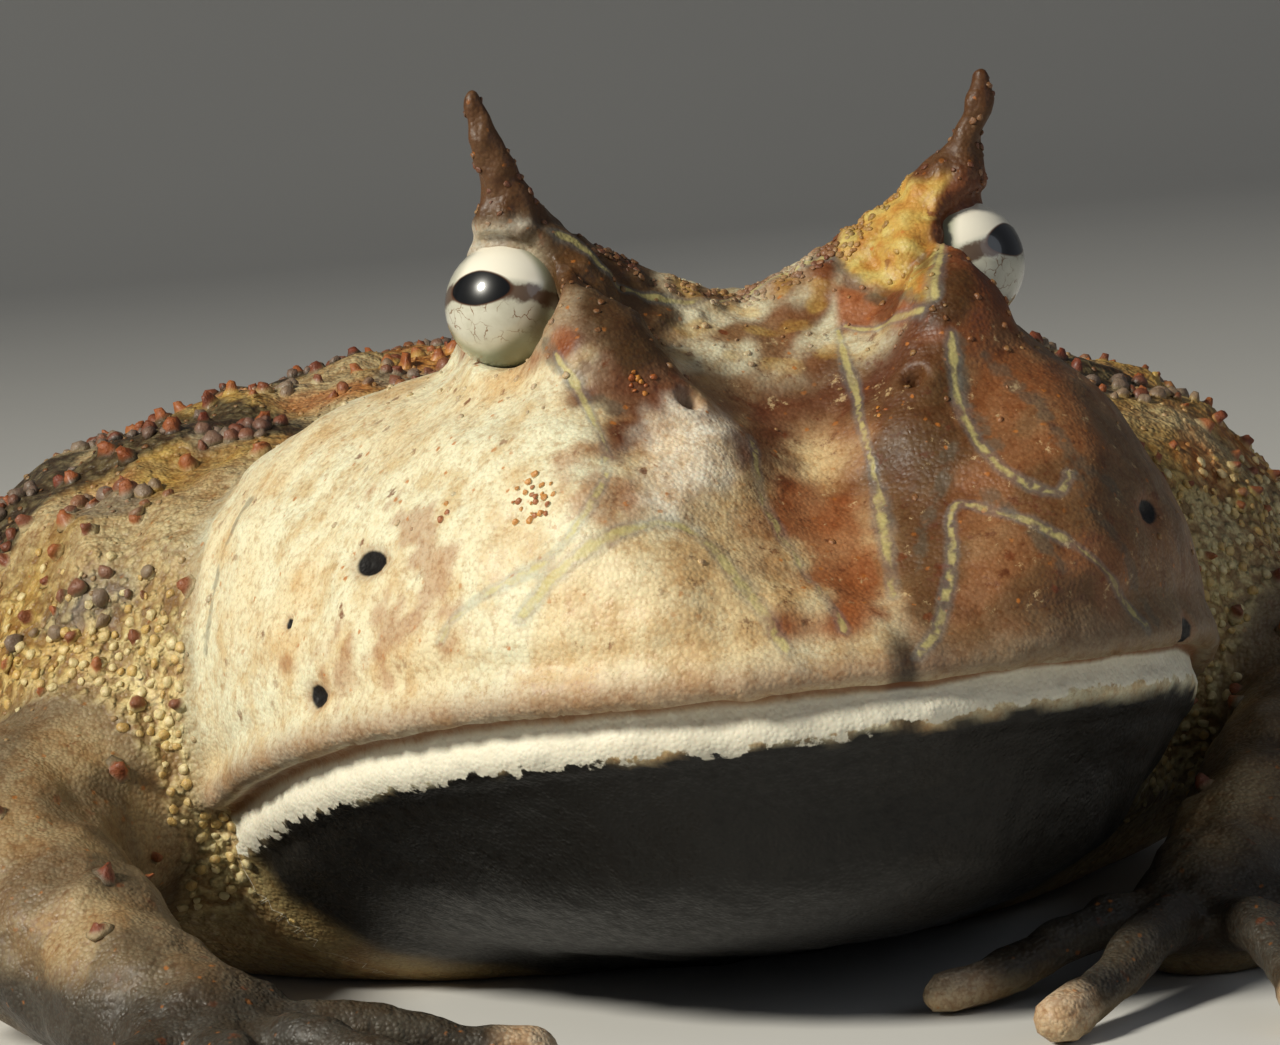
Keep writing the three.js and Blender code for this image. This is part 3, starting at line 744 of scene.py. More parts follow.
class Pigment:
    """The frog's colours, linear. Some also stand in for light and shade, as their notes say."""

    CREAM = linear("dedabc")
    PEACH = linear("dac090")
    # pinkish brown over the upper lip's edge, partly its own colour and partly painted shade along the mouth
    PINK_AND_SHADE = linear("947460")
    RUST = linear("96562c")
    DEEP_RUST = linear("5a2b15")
    # the lower lip's pale rim, partly its own colour and partly painted light; it also lightens the fine dust
    LIP_WHITE = linear("dfdac8")
    CLEFT = linear("80502f")
    # near black: the throat's own dark brown, darkened as painted shade under the jaw
    THROAT = linear("0e0c08")
    BELLY = linear("a8946c")
    FLANK = linear("a8915c")
    BACK = linear("96763f")
    BLOTCH = linear("261a11")
    GREY = linear("7b7468")
    ORANGE = linear("b8691f")
    ARM = linear("786850")
    FINGER = linear("34322e")
    TIP = linear("c8b49a")
    HORN = linear("573a20")
    AMBER = linear("c4a252")
    YELLOW = linear("c8bb74")
    SAND = linear("decd96")
    # dark olive brown; on the frog's left cheek and snout and on the right lid it is partly painted shade
    OLIVE = linear("4a3317")
    # near white: the painted highlight on the snout's right swelling
    PALE_HIGHLIGHT = linear("fbf3de")
    ASH = linear("b9b3a4")
    SLATE = linear("6a7575")


@dataclass(frozen=True)
class Line:
    """A thin yellow line of the face, edged with slate, by the points that it passes."""

    points: tuple[Triple, ...]
    width: float = 1.0


@dataclass(frozen=True)
class Patch:
    """A coloured patch of the face, by its outline in x and z as seen from in front."""

    colour: Array
    share: float
    outline: tuple[tuple[float, float], ...]
    ragged: float = 0.45
    soft: float = 0.55

    def cover(self, points: Array, noise: Array) -> Array:
        """How much of the patch's colour each point takes.

        Args:
            points: Points as rows.
            noise: The noise that makes the patch's edge ragged.

        Returns:
            The share at each point.
        """
        corners = np.array(self.outline)
        x, z = points[:, 0], points[:, 2]
        inside = np.zeros(len(points), bool)
        gap = np.full(len(points), FAR)
        for (x0, z0), (x1, z1) in zip(corners, np.roll(corners, -1, axis=0)):
            crosses = (z0 > z) != (z1 > z)
            inside ^= crosses & (x < x0 + (x1 - x0) * (z - z0) / (z1 - z0 if z1 != z0 else 1.0))
            along = np.array([x1 - x0, z1 - z0])
            share = np.clip(((x - x0) * along[0] + (z - z0) * along[1]) / float(along @ along), 0.0, 1.0)
            gap = np.minimum(gap, np.hypot(x - x0 - share * along[0], z - z0 - share * along[1]))
        depth = np.where(inside, gap, -gap) + self.ragged * noise
        return self.share * ramp(depth, -self.soft, self.soft) * ramp(points[:, 1], -22.0, -25.0)


@dataclass
class Markings:
    """Where the frog's lines, patches and bands lie, in the form's millimetres."""

    form: FrogForm
    lines: tuple[Line, ...] = (
        Line(
            (
                (-11.7, -34.5, 34.6), (-11.0, -37.5, 32.0), (-11.2, -41.2, 29.0), (-14.1, -42.9, 25.8),
                (-18.2, -40.2, 23.3), (-19.6, -39.1, 21.6),
            ),
        ),
        Line(
            (
                (-16.3, -42.5, 22.6), (-14.3, -43.3, 24.7), (-11.4, -44.0, 26.3), (-8.8, -43.6, 26.5),
                (-7.3, -44.2, 25.4), (-6.1, -46.3, 23.2), (-4.9, -48.4, 20.3),
            ),
            1.15,
        ),
        Line(((-2.9, -37.3, 29.6), (-3.4, -40.5, 26.9), (-2.6, -44.0, 24.0), (-1.8, -47.7, 21.0)), 0.9),
        Line(((4.0, -30.3, 34.2), (3.1, -36.0, 30.6), (2.6, -39.8, 27.2), (1.3, -46.0, 22.5)), 0.9),
        Line(
            (
                (1.2, -49.4, 19.6), (2.8, -47.9, 20.8), (4.5, -45.3, 23.5), (5.4, -43.0, 25.6),
                (6.4, -43.4, 25.8), (9.0, -45.1, 24.3), (11.9, -45.6, 21.7), (14.0, -45.2, 19.2),
            ),
            0.8,
        ),
        Line(
            (
                (8.1, -36.4, 33.8), (7.5, -39.0, 30.0), (8.2, -42.6, 27.4), (10.3, -44.2, 26.0),
                (11.3, -43.7, 26.9),
            ),
            0.8,
        ),
        Line(
            (
                (-11.3, -29.8, 41.7), (-9.9, -29.3, 41.3), (-8.4, -28.7, 40.1), (-7.0, -29.2, 38.4),
                (-5.6, -28.7, 37.5), (-2.8, -27.4, 36.2), (1.2, -25.4, 36.0), (4.8, -26.6, 37.9),
            ),
            0.8,
        ),
        Line(((4.3, -30.4, 34.6), (5.6, -32.0, 34.3), (6.9, -35.0, 35.2)), 0.9),
        Line(((10.2, -30.0, 40.8), (9.4, -30.7, 39.3), (8.8, -32.6, 37.8), (7.6, -35.2, 36.0)), 0.9),
    )
    patches: tuple[Patch, ...] = (
        # dark rust between the right eye and the snout, partly its own colour and partly painted shade in the
        # hollow there
        Patch(
            Pigment.DEEP_RUST, 0.75,
            (
                (-10.9, 35.2), (-7.4, 35.4), (-3.2, 33.4), (-5.3, 32.1), (-8.3, 30.7), (-10.3, 29.7),
                (-10.6, 31.4), (-11.2, 33.3),
            ),
            0.7,
        ),
        # dark olive on the left of the snout, partly its own colour and partly painted shade
        Patch(
            Pigment.OLIVE, 0.7,
            (
                (4.3, 33.7), (8.5, 33.5), (6.5, 27.0), (4.1, 21.5), (3.0, 20.8), (1.3, 21.5), (1.8, 23.7),
                (2.1, 25.6), (3.2, 29.6),
            ),
        ),
        Patch(
            Pigment.RUST, 0.8,
            (
                (-2.1, 27.3), (-0.4, 27.8), (1.0, 27.0), (1.5, 25.2), (1.2, 22.5), (0.5, 21.0),
                (-1.8, 21.0), (-1.9, 22.8), (-2.3, 24.0), (-3.0, 25.5), (-2.9, 26.6),
            ),
        ),
        # the snout's right swelling, painted near white as a highlight
        Patch(
            Pigment.PALE_HIGHLIGHT, 1.0,
            (
                (-8.2, 31.0), (-6.3, 31.6), (-3.8, 30.6), (-3.7, 29.6), (-5.0, 28.3), (-6.6, 26.9),
                (-8.6, 26.9), (-9.3, 28.0), (-9.0, 29.6),
            ),
            0.6, 1.3,
        ),
        # dark rust in the hollow down the middle of the snout, partly its own colour and partly painted shade
        Patch(
            Pigment.DEEP_RUST, 0.8,
            ((-4.7, 29.7), (-2.1, 30.9), (-0.4, 29.8), (-0.2, 28.4), (-2.4, 27.8), (-4.2, 28.4)),
            0.6, 0.7,
        ),
        Patch(
            Pigment.RUST, 0.5,
            (
                (-20.2, 27.6), (-18.9, 27.4), (-18.7, 25.3), (-19.0, 22.8), (-21.4, 20.8), (-23.8, 19.0),
                (-24.6, 19.6), (-22.6, 21.8), (-20.6, 23.4), (-20.0, 25.3),
            ),
            1.0, 0.5,
        ),
        Patch(
            Pigment.RUST, 0.5,
            ((-13.6, 29.2), (-11.4, 30.0), (-10.8, 28.4), (-12.0, 26.6), (-13.4, 27.2)),
            1.0, 0.5,
        ),
    )
    lid_patches: tuple[Patch, ...] = (
        # dark olive on the right lid's inner slope, partly its own colour and partly painted shade
        Patch(
            Pigment.OLIVE, 0.9,
            (
                (-14.6, 43.4), (-11.0, 43.0), (-7.6, 40.2), (-4.6, 37.8), (-4.0, 35.4), (-6.4, 33.4),
                (-8.8, 33.2), (-10.2, 35.0), (-10.6, 37.5), (-11.2, 39.6), (-15.4, 39.9),
            ),
        ),
        Patch(
            Pigment.ASH, 0.9,
            ((-15.2, 41.3), (-11.6, 41.6), (-11.2, 40.8), (-12.2, 40.0), (-15.4, 39.5)),
            0.5, 0.4,
        ),
        Patch(
            Pigment.AMBER, 0.95,
            (
                (11.4, 41.6), (10.0, 39.3), (9.0, 37.6), (7.4, 35.7), (6.7, 36.2), (5.8, 36.9),
                (5.3, 38.0), (6.4, 39.1), (8.2, 40.5), (9.3, 41.2),
            ),
            0.3, 0.3,
        ),
        Patch(Pigment.RUST, 0.85, ((4.7, 36.2), (6.6, 35.2), (5.5, 34.1), (4.4, 34.3)), 0.2, 0.3),
        Patch(
            Pigment.OLIVE, 0.8,
            ((7.4, 35.5), (9.0, 37.6), (10.6, 37.0), (9.0, 34.0), (6.5, 34.1)),
            0.3, 0.4,
        ),
    )
    veins: tuple[tuple[Triple, ...], ...] = (
        ((3.0, -44.7, 23.6), (4.1, -42.8, 25.3), (5.2, -41.9, 26.3), (6.6, -40.2, 28.0)),
        ((7.2, -42.8, 26.2), (8.4, -45.2, 24.6), (9.4, -46.4, 22.6)),
        ((4.8, -26.6, 37.9), (5.9, -29.2, 36.1), (7.2, -34.0, 35.8)),
        ((8.4, -36.4, 33.4), (8.0, -39.0, 30.2), (8.6, -41.4, 28.0)),
        ((-11.7, -33.0, 35.0), (-11.2, -36.0, 33.2), (-9.6, -37.5, 31.6)),
        ((-27.9, -17.3, 19.9), (-27.4, -16.6, 22.4), (-26.4, -16.4, 24.7), (-24.7, -16.4, 27.4)),
        (
            (10.4, -38.3, 32.6), (11.5, -41.9, 29.4), (12.0, -45.0, 25.6), (13.8, -45.4, 22.5),
            (15.4, -45.0, 19.3),
        ),
        ((9.7, -38.0, 33.1), (11.0, -40.6, 30.4), (11.9, -43.6, 28.0), (14.5, -43.0, 25.5)),
    )
    amber_spots: tuple[tuple[Triple, float], ...] = (
        ((-14.7, -40.5, 28.0), 1.5),
        ((-8.1, -36.7, 32.9), 1.0),
        ((3.9, -37.2, 30.4), 0.6),
        ((-19.5, -37.0, 28.5), 0.7),
        ((-10.0, -45.0, 22.6), 0.7),
    )
    pits: tuple[tuple[Triple, float, float], ...] = (
        ((-21.6, -32.5, 25.1), 1.6, 2.3),
        ((-24.6, -30.6, 18.5), 0.9, 1.35),
        ((-25.0, -26.8, 21.9), 0.4, 1.2),
        ((16.6, -41.4, 24.6), 1.4, 2.0),
        ((17.9, -42.2, 17.9), 1.0, 1.2),
    )

    def line_distance(self, points: Array) -> Array:
        """The distance from each point to the nearest line, where a wide line counts as nearer.

        Args:
            points: Points as rows.

        Returns:
            The distance at each point.
        """
        best = np.full(len(points), NO_LINE)
        near = np.nonzero(points[:, 1] < -12.0)[0]
        close = points[near]
        for line in self.lines:
            path = self.form.settle(smooth_path(line.points, 6))
            wobble = 1.0 + 0.35 * ripples(close, 5.0, 61)
            best[near] = np.minimum(best[near], distance_to_path(close, path) / (line.width * wobble))
        return best

    def vein_distance(self, points: Array) -> Array:
        """The distance from each point to the nearest slate vein.

        Args:
            points: Points as rows.

        Returns:
            The distance at each point.
        """
        best = np.full(len(points), NO_LINE)
        near = np.nonzero(points[:, 1] < -12.0)[0]
        close = points[near]
        for vein in self.veins:
            path = self.form.settle(smooth_path(vein, 5))
            best[near] = np.minimum(best[near], distance_to_path(close, path))
        return best

    def pit_depth(self, points: Array) -> Array:
        """The small dark pits in the cheeks, from 0 outside to 1 at the bottom.

        Args:
            points: Points as rows.

        Returns:
            The depth at each point.
        """
        depth = np.zeros(len(points))
        for place, radius, squeeze in self.pits:
            away = (points - self.form.settle(np.array([place]))) * np.array([1.0, 1.0, squeeze])
            depth = np.maximum(depth, bell(np.linalg.norm(away, axis=1), 0.0, radius))
        return depth


# The skin


@dataclass(frozen=True)
class Survey:
    """What the skin's relief and colours are worked out from, at each point."""

    points: Array
    folded: Array  # the points folded to one side
    over_mouth: Array  # how far above the mouth's line they lie
    seam: Array  # how much further the trunk's surface lies than the head's
    limb: Array  # how far they belong to an arm or a leg
    horn: Array  # how far they belong to a horn
    broad: Array  # noise of four sizes, from here down
    medium: Array
    small: Array
    tiny: Array

    @classmethod
    def of(cls, form: FrogForm, p: Array) -> Survey:
        """Takes the measures of points.

        Args:
            form: The frog's form.
            p: The points.

        Returns:
            Their measures.
        """
        h = form.height_over_mouth(p)
        q = form.head_side(p)
        folded = mirrored(p)
        return cls(
            points=p,
            folded=folded,
            over_mouth=h,
            seam=form.torso(folded) - np.where(h > 0, form.upper_head(q), form.jaw(q)),
            limb=ramp(form.trunk(p), 0.4, 1.6),
            horn=ramp(form.horn(form.horn_side(p)), 0.9, 0.2) * ramp(p[:, 2], 40.8, 42.2),
            broad=ripples(p, 21.0, 31),
            medium=ripples(p, 8.0, 32),
            small=ripples(p, 3.0, 33),
            tiny=ripples(p, 1.3, 39),
        )

    @property
    def head(self) -> Array:
        """How far each point belongs to the head and not to the trunk."""
        return ramp(self.seam, -1.0, 2.0)

    @property
    def face(self) -> Array:
        """How far each point belongs to the head and to no limb."""
        return self.head * (1.0 - self.limb)

    @property
    def corner(self) -> Array:
        """How far each point belongs to the sandy pebbles behind the mouth's corner."""
        _, y, z = self.points.T
        return bell(self.seam, -1.0, 5.0) * ramp(z, 4.0, 7.0) * ramp(z, 24.0, 17.0) * ramp(y, 2.0, -6.0)

    @property
    def bare_trunk(self) -> Array:
        """How far each point belongs to the trunk alone."""
        return (1.0 - ramp(self.face, 0.1, 0.6)) * (1.0 - self.limb)


@dataclass
class Skin:
    """The frog's whole skin: one closed mesh that stands for every soft solid of the frame."""

    form: FrogForm
    markings: Markings
    low: Triple = (-56.7, -60.3, -2.7)
    high: Triple = (56.7, 63.0, 50.4)
    cell: float = 0.9
    horn_growth: float = 0.35  # thickens the horns in the rough mesh, whose cells are too wide for them
    evening_rounds: int = 3

    def grain_at(self, p: Array) -> Array:
        """How finely the mesh is cut at each point: 0, 1 or 2.

        Args:
            p: Points as rows.

        Returns:
            How many times the mesh is halved at each point.
        """
        level = np.full(len(p), Grain.COARSE.value)
        level[(p[:, 1] < -16.0) & (p[:, 2] > 9.0)] = Grain.MIDDLE.value
        level[(p[:, 1] < -24.0) & (p[:, 2] < 8.0) & (np.abs(p[:, 0]) > 10.0)] = Grain.MIDDLE.value
        level[(p[:, 1] < -20.0) & (p[:, 2] > 31.0)] = Grain.FINE.value
        return level

    def rough_mesh(self) -> tuple[Array, Array]:
        """The skin's quads on the form's zero level, evened out.

        Returns:
            The vertices and the quads as rows.
        """
        low = np.array(self.low)
        count = np.ceil((np.array(self.high) - low) / self.cell).astype(int) + 1
        axes = [low[n] + self.cell * np.arange(count[n]) for n in range(3)]
        grid = np.stack(np.meshgrid(*axes, indexing="ij"), axis=-1).reshape(-1, 3)
        self.form.horn_growth = self.horn_growth
        values = self.form.distance(grid).reshape(count)
        vertices, quads = contour(values, low, self.cell)
        edges = np.vstack([quads[:, [n, (n + 1) % 4]] for n in range(4)])
        vertices = self.form.settle(vertices, 2)
        for _ in range(self.evening_rounds):
            total = np.zeros_like(vertices)
            np.add.at(total, edges[:, 0], vertices[edges[:, 1]])
            share = np.bincount(edges[:, 0], minlength=len(vertices))[:, None]
            vertices = 0.5 * vertices + 0.5 * total / np.maximum(share, 1)
            vertices = self.form.settle(vertices, 1)
        self.form.horn_growth = 0.0
        return vertices, quads

    def refine(self, vertices: Array, quads: Array) -> tuple[Array, list[list[int]]]:
        """Halves the mesh where the frog has fine forms.

        Args:
            vertices: The points of the rough mesh.
            quads: Its faces.

        Returns:
            The finer points, settled on the form, and the faces.
        """
        shell = bmesh.new()
        made = [shell.verts.new(row) for row in vertices.tolist()]
        for quad in quads.tolist():
            shell.faces.new([made[n] for n in quad])
        for level in (Grain.MIDDLE.value, Grain.FINE.value):
            centres = np.array([face.calc_center_median()[:] for face in shell.faces])
            chosen = self.grain_at(centres) >= level
            edges = {edge for face, take in zip(shell.faces, chosen) if take for edge in face.edges}
            bmesh.ops.subdivide_edges(shell, edges=list(edges), cuts=1, use_grid_fill=True)
        shell.verts.index_update()
        points = np.array([vert.co[:] for vert in shell.verts])
        faces = [[vert.index for vert in face.verts] for face in shell.faces]
        shell.free()
        return self.form.settle(points, 2), faces

    def relief(self, s: Survey) -> Array:
        """How far the skin stands out of the smooth form at each point, in millimetres.

        Args:
            s: The points' measures.

        Returns:
            The relief at each point, outward positive.
        """
        form, p, h = self.form, s.points, s.over_mouth
        x, y, z = p.T
        face, limb = s.head, s.limb
        body = (1.0 - face) * (1.0 - limb)
        above = ramp(z, 0.6, 5.0)
        raised = body * above * (0.35 * ripples(p, 7.0, 11) + 0.2 * ripples(p, 3.2, 12))
        raised += limb * above * (0.14 * ripples(p, 3.4, 13) + 0.10 * ripples(p, 1.9, 14))
        raised += face * (0.10 * ripples(p, 4.5, 15) + 0.05 * ripples(p, 2.0, 16))
        mouth = ramp(y, -12.5, -16.0) * face * (1.0 - limb)
        wave = 0.25 * ripples(p, 9.0, 17)
        raised += mouth * (0.40 * bell(h, 1.25 + 0.3 * wave, 0.85) - 0.75 * bell(h, 0.0, 0.34))
        raised += mouth * (0.34 * bell(h, -1.15, 0.75) - 0.14 * bell(h, 3.1 + wave, 0.55))
        raised -= mouth * 0.5 * ramp(h, -2.0, -3.2) * ramp(h, -9.0, -5.0)
        front = ramp(y, -30.0, -37.0) * ramp(h, 3.0, 6.0)
        raised -= front * 0.55 * bell(x, 0.4 + 0.4 * wave, 2.4)
        for side in (-1.0, 1.0):
            swelling = form.settle(np.array([[side * 6.4, -40.3, 28.4]]))
            raised += 0.55 * bell(np.linalg.norm(p - swelling, axis=1), 0.0, 3.2)
        top = ramp(z, 31.0, 33.0) * bell(x, 0.0, 9.0) * face
        raised += top * 0.45 * (ramp(y + 0.8 * wave, -34.2, -33.2) - 0.5)
        hole = form.settle(np.array([form.nostril]))
        gap = np.linalg.norm(s.folded - hole, axis=1)
        raised += 0.12 * bell(gap, 0.9, 0.5) - 1.0 * bell(gap, 0.0, 0.5)
        raised -= face * 0.22 * bell(s.seam, 0.9, 0.55) * ramp(z, 8.0, 14.0)
        raised -= 0.55 * self.markings.pit_depth(p)
        lid = ramp(y, -34.0, -32.0) * ramp(z, 34.0, 36.0)
        raised += lid * 0.12 * ripples(p, 1.5, 18, 40)
        return raised

    def trunk_tone(self, s: Survey) -> Array:
        """The trunk's colours, olive and brown with dark blotches over a pale belly.

        Args:
            s: The points' measures.

        Returns:
            The colour at each point.
        """
        z = s.points[:, 2]
        blotch = ramp(s.broad + 0.5 * s.medium + 0.25 * s.small, 0.62, 0.74) * ramp(z, 12.0, 18.0)
        return coated(
            Pigment.FLANK,
            (Pigment.BACK, 0.7 * ramp(z + 2.0 * s.medium, 18.0, 27.0)),
            (Pigment.CREAM, 0.3 * ramp(s.medium, 0.2, -0.8)),
            (Pigment.AMBER, 0.7 * ramp(s.medium + 0.4 * s.small, 0.25, 0.9) * ramp(z, 12.0, 20.0)),
            (Pigment.ORANGE, 0.6 * ramp(ripples(s.points, 9.0, 36), 0.4, 0.9) * ramp(z, 15.0, 24.0)),
            (Pigment.GREY, 0.75 * ramp(ripples(s.points, 7.0, 34), 0.6, 0.8) * ramp(z, 16.0, 22.0)),
            (Pigment.BLOTCH, 0.92 * blotch),
            (Pigment.BELLY, ramp(z + 0.8 * s.small, 8.0, 3.5)),
        )

    def cheek_tone(self, s: Survey) -> Array:
        """The face's colours, pale on the frog's right and rusty and darker towards its left, partly its own
        colour and partly painted shade.

        Args:
            s: The points' measures.

        Returns:
            The colour at each point.
        """
        x, y, z = s.points.T
        h, medium, small = s.over_mouth, s.medium, s.small
        arc = ramp(np.hypot((x + 10.5) / 5.6, (z - 20.5) / 6.4) + 0.05 * small, 1.02, 0.94)
        arc = arc * ramp(y, -30.0, -36.0)
        rosy = coated(
            Pigment.PEACH,
            (Pigment.RUST, 0.30 + 0.5 * small + 0.35 * medium),
            (Pigment.PEACH, 0.9 * arc),
        )
        rusty = coated(
            Pigment.RUST,
            (Pigment.PEACH, 0.25 * ramp(small, 0.0, 0.9)),
            (Pigment.OLIVE, 0.45 + 0.4 * ramp(medium + 0.5 * small, -0.3, 0.7)),
            (Pigment.ARM, 0.45 * ramp(x + 2.0 * medium, 11.0, 17.0)),
        )
        snout = ramp(x + 1.6 * medium + 0.9 * small, -11.5, -7.5) * ramp(h + small, 1.5, 5.0)
        dark = ramp(x + 0.8 * small, -12.0, -8.0) * ramp(z + 0.8 * small, 28.5, 31.0)
        dark = dark * (1.0 - 0.75 * bell(x, -6.0, 2.4))
        # the frog's left of the face turns rusty olive and darker: partly its own colour, partly painted
        # shade
        left = ramp(x + 0.7 * small, -1.5, 3.5)
        ragged = 0.6 * small + 0.7 * s.tiny
        crown = ramp(z, 31.0, 33.5) * ramp(np.abs(x), 10.0, 6.0) * ramp(y, -35.5, -33.5)
        # painted shadow: a dark band across the snout in front of the step below the crown
        step = bell(y, -35.0, 1.7) * ramp(z, 29.5, 31.5) * bell(x, 0.0, 9.0)
        # dark down the middle of the mouth, at the notch of the lip
        midline_notch = ramp(np.abs(x - 0.7 + 0.2 * small), 1.0, 0.4)
        midline_notch = midline_notch * ramp(h + 0.4 * small, 3.2, 1.8) * ramp(h, -4.0, -2.0)
        # below the lip the face turns near black: the throat's own dark colour, with painted shade under the
        # jaw
        throat = ramp(h + 0.3 * small, -1.4, -2.0)
        return coated(
            Pigment.CREAM,
            (Pigment.PEACH, 0.18 + 0.35 * medium + 0.15 * small),
            (Pigment.PEACH, 0.5 * arc),
            (rosy, snout),
            (Pigment.DEEP_RUST, 0.75 * dark * ramp(x, 16.0, 10.0)),
            (rusty, 0.92 * left * ramp(h + 0.3 * small, 0.3, 1.6)),
            *((patch.colour, patch.cover(s.points, ragged)) for patch in self.markings.patches),
            (Pigment.CREAM, 0.8 * crown * ramp(small, -0.5, 0.5)),
            (Pigment.AMBER, 0.4 * crown * ramp(ripples(s.points, 2.0, 38), 0.2, 0.8)),
            # the painted shadow in front of the step
            (Pigment.DEEP_RUST, 0.9 * step),
            # over the mouth a pinkish brown band, greyer on the frog's left: partly its own colour and partly
            # painted shade along the upper lip's edge
            (Pigment.PINK_AND_SHADE, 0.7 * bell(h, 1.0, 1.0)),
            (Pigment.ARM, 0.75 * bell(h, 1.2, 1.6) * ramp(x, -2.0, 6.0)),
            (Pigment.BLOTCH, 0.85 * midline_notch),
            (Pigment.THROAT, throat),
            (Pigment.FLANK, 0.8 * throat * ramp(y + 0.5 * small, -17.5, -13.0)),
        )

    def face_tone(self, s: Survey) -> Array:
        """The face's colours with those of the lids over them.

        Args:
            s: The points' measures.

        Returns:
            The colour at each point.
        """
        p, small = s.points, s.small
        x, y, z = p.T
        lids = ramp(z + 0.3 * small, 33.4, 35.0) * ramp(np.abs(x), 3.6, 5.5) * ramp(y, -36.2, -35.0)
        patches = self.markings.lid_patches
        golden = patches[GOLDEN_LID].cover(p, small)
        ring = self.form.lids(s.folded)
        return coated(
            self.cheek_tone(s),
            (Pigment.DEEP_RUST, 0.6 * lids),
            (Pigment.RUST, 0.6 * lids * ramp(small, 0.2, 0.9)),
            *((patch.colour, patch.cover(p, small)) for patch in patches),
            (Pigment.YELLOW, 0.6 * golden * ramp(s.tiny, 0.0, 0.7)),
            (Pigment.ORANGE, 0.4 * golden * ramp(s.tiny, -0.2, -0.8)),
            (Pigment.CREAM, 0.85 * (ramp(ring, 0.7, 0.1) * ramp(z, 37.6, 36.0))),
            (Pigment.BLOTCH, 0.5 * ramp(ring, 0.5, 0.0) * ramp(z, 36.5, 38.0)),
        )

    def limb_tone(self, s: Survey) -> Array:
        """The colours of the arms and legs, barred behind and dark on the hands and feet.

        Args:
            s: The points' measures.

        Returns:
            The colour at each point.
        """
        p, medium = s.points, s.medium
        x, y, z = p.T
        arm = coated(
            Pigment.ARM,
            (Pigment.PEACH, 0.35 * ramp(medium, -0.1, 0.9)),
            (Pigment.BLOTCH, 0.45 * ramp(ripples(p, 6.0, 35) + 0.3 * s.small, 0.65, 0.85)),
        )
        bars = bell(np.sin((x + y) * 0.42 + medium), 1.0, 0.5)
        leg = coated(Pigment.BACK, (Pigment.ARM, 0.6), (Pigment.BLOTCH, 0.75 * bars))
        hand = ramp(z, 7.5, 5.0) * ramp(y, -22.0, -27.0) + ramp(z, 6.0, 4.5) * ramp(y, 14.0, 16.0)
        return coated(
            arm,
            (leg, ramp(y, 2.0, 8.0)),
            (Pigment.FINGER, 0.9 * hand),
            (Pigment.TIP, self.tips(p)),
            (Pigment.BELLY, ramp(z, 2.0, 0.6) * 0.6),
        )

    def tips(self, p: Array) -> Array:
        """How far each point belongs to the pale tip of a finger or toe.

        Args:
            p: Points as rows.

        Returns:
            The share at each point, from 0 to 1.
        """
        share = np.zeros(len(p))
        for side in Side:
            turned = p * np.array([side.value, 1.0, 1.0])
            for digit in self.form.hand(side) + self.form.foot():
                end = np.array(digit.path[-1])
                share = np.maximum(share, 0.9 * ramp(np.linalg.norm(turned - end, axis=1), 2.9, 1.5))
        return share

    def amber(self, s: Survey) -> Array:
        """How far each point belongs to a spot of amber grains.

        Args:
            s: The points' measures.

        Returns:
            The share at each point, from 0 to 1.
        """
        share = np.zeros(len(s.points))
        for spot, reach in self.markings.amber_spots:
            near = np.linalg.norm(s.points - self.form.settle(np.array([spot])), axis=1)
            share = np.maximum(share, ramp(near + 0.25 * s.small, reach, 0.5 * reach))
        return share

    def paint(self, s: Survey) -> dict[str, Array]:
        """The colours and measures that the skin's shader reads, by their names.

        Args:
            s: The points' measures.

        Returns:
            Each attribute's values by its name.
        """
        p, h, small, face, limb = s.points, s.over_mouth, s.small, s.face, s.limb
        x, y, z = p.T
        tone = coated(
            self.trunk_tone(s),
            (Pigment.SAND, 0.85 * s.corner),
            (self.face_tone(s), face),
            (Pigment.SLATE, 0.35 * (bell(s.seam, 0.8, 0.8) * ramp(z, 8.0, 14.0))),
            (Pigment.HORN, s.horn),
            (self.limb_tone(s), limb),
        )
        # below the mouth the lip's measure is stretched on the frog's left, so that the pale band along the
        # lower lip, partly painted light, is narrower there
        lip = h * (1.0 + 0.8 * ramp(x, -8.0, 12.0) * ramp(h, 0.2, -0.4))
        # the painted highlight on the snout's swelling, which the mottling leaves clear
        pale = self.markings.patches[HIGHLIGHT_PATCH].cover(p, small)
        calm = (1.0 - 0.85 * pale) * (1.0 - 0.9 * ramp(z, 33.5, 35.5))
        pebbles = np.clip(
            1.5 * s.corner * (1.0 - limb) + 0.9 * self.flank(s) + 0.35 * s.bare_trunk, 0.0, 1.0
        )
        specks = face * ramp(h, 2.0, 4.0) + 0.7 * limb + 0.5 * s.bare_trunk
        return {
            "tone": tone,
            "line": self.markings.line_distance(p),
            "vein": self.markings.vein_distance(p),
            "mottle": calm * face * ramp(h, 1.5, 4.0) * ramp(x + 1.5 * small, -13.0, -7.0),
            "lip": np.where((y < -12.5) & (face > 0.3) & (limb < 0.4), lip, NO_LIP),
            "pit": self.markings.pit_depth(p),
            "grain": 0.45 + 0.55 * (1.0 - face) * (1.0 - 0.4 * limb),
            "pebble": pebbles * (1.0 - ramp(face, 0.15, 0.6)),
            "speck": np.clip(specks, 0.0, 1.0),
        }

    def flank(self, s: Survey) -> Array:
        """How far each point belongs to the pebbled flank."""
        _, y, z = s.points.T
        return s.bare_trunk * ramp(z, 5.0, 9.0) * ramp(z, 26.0, 19.0) * ramp(y, 24.0, 6.0)

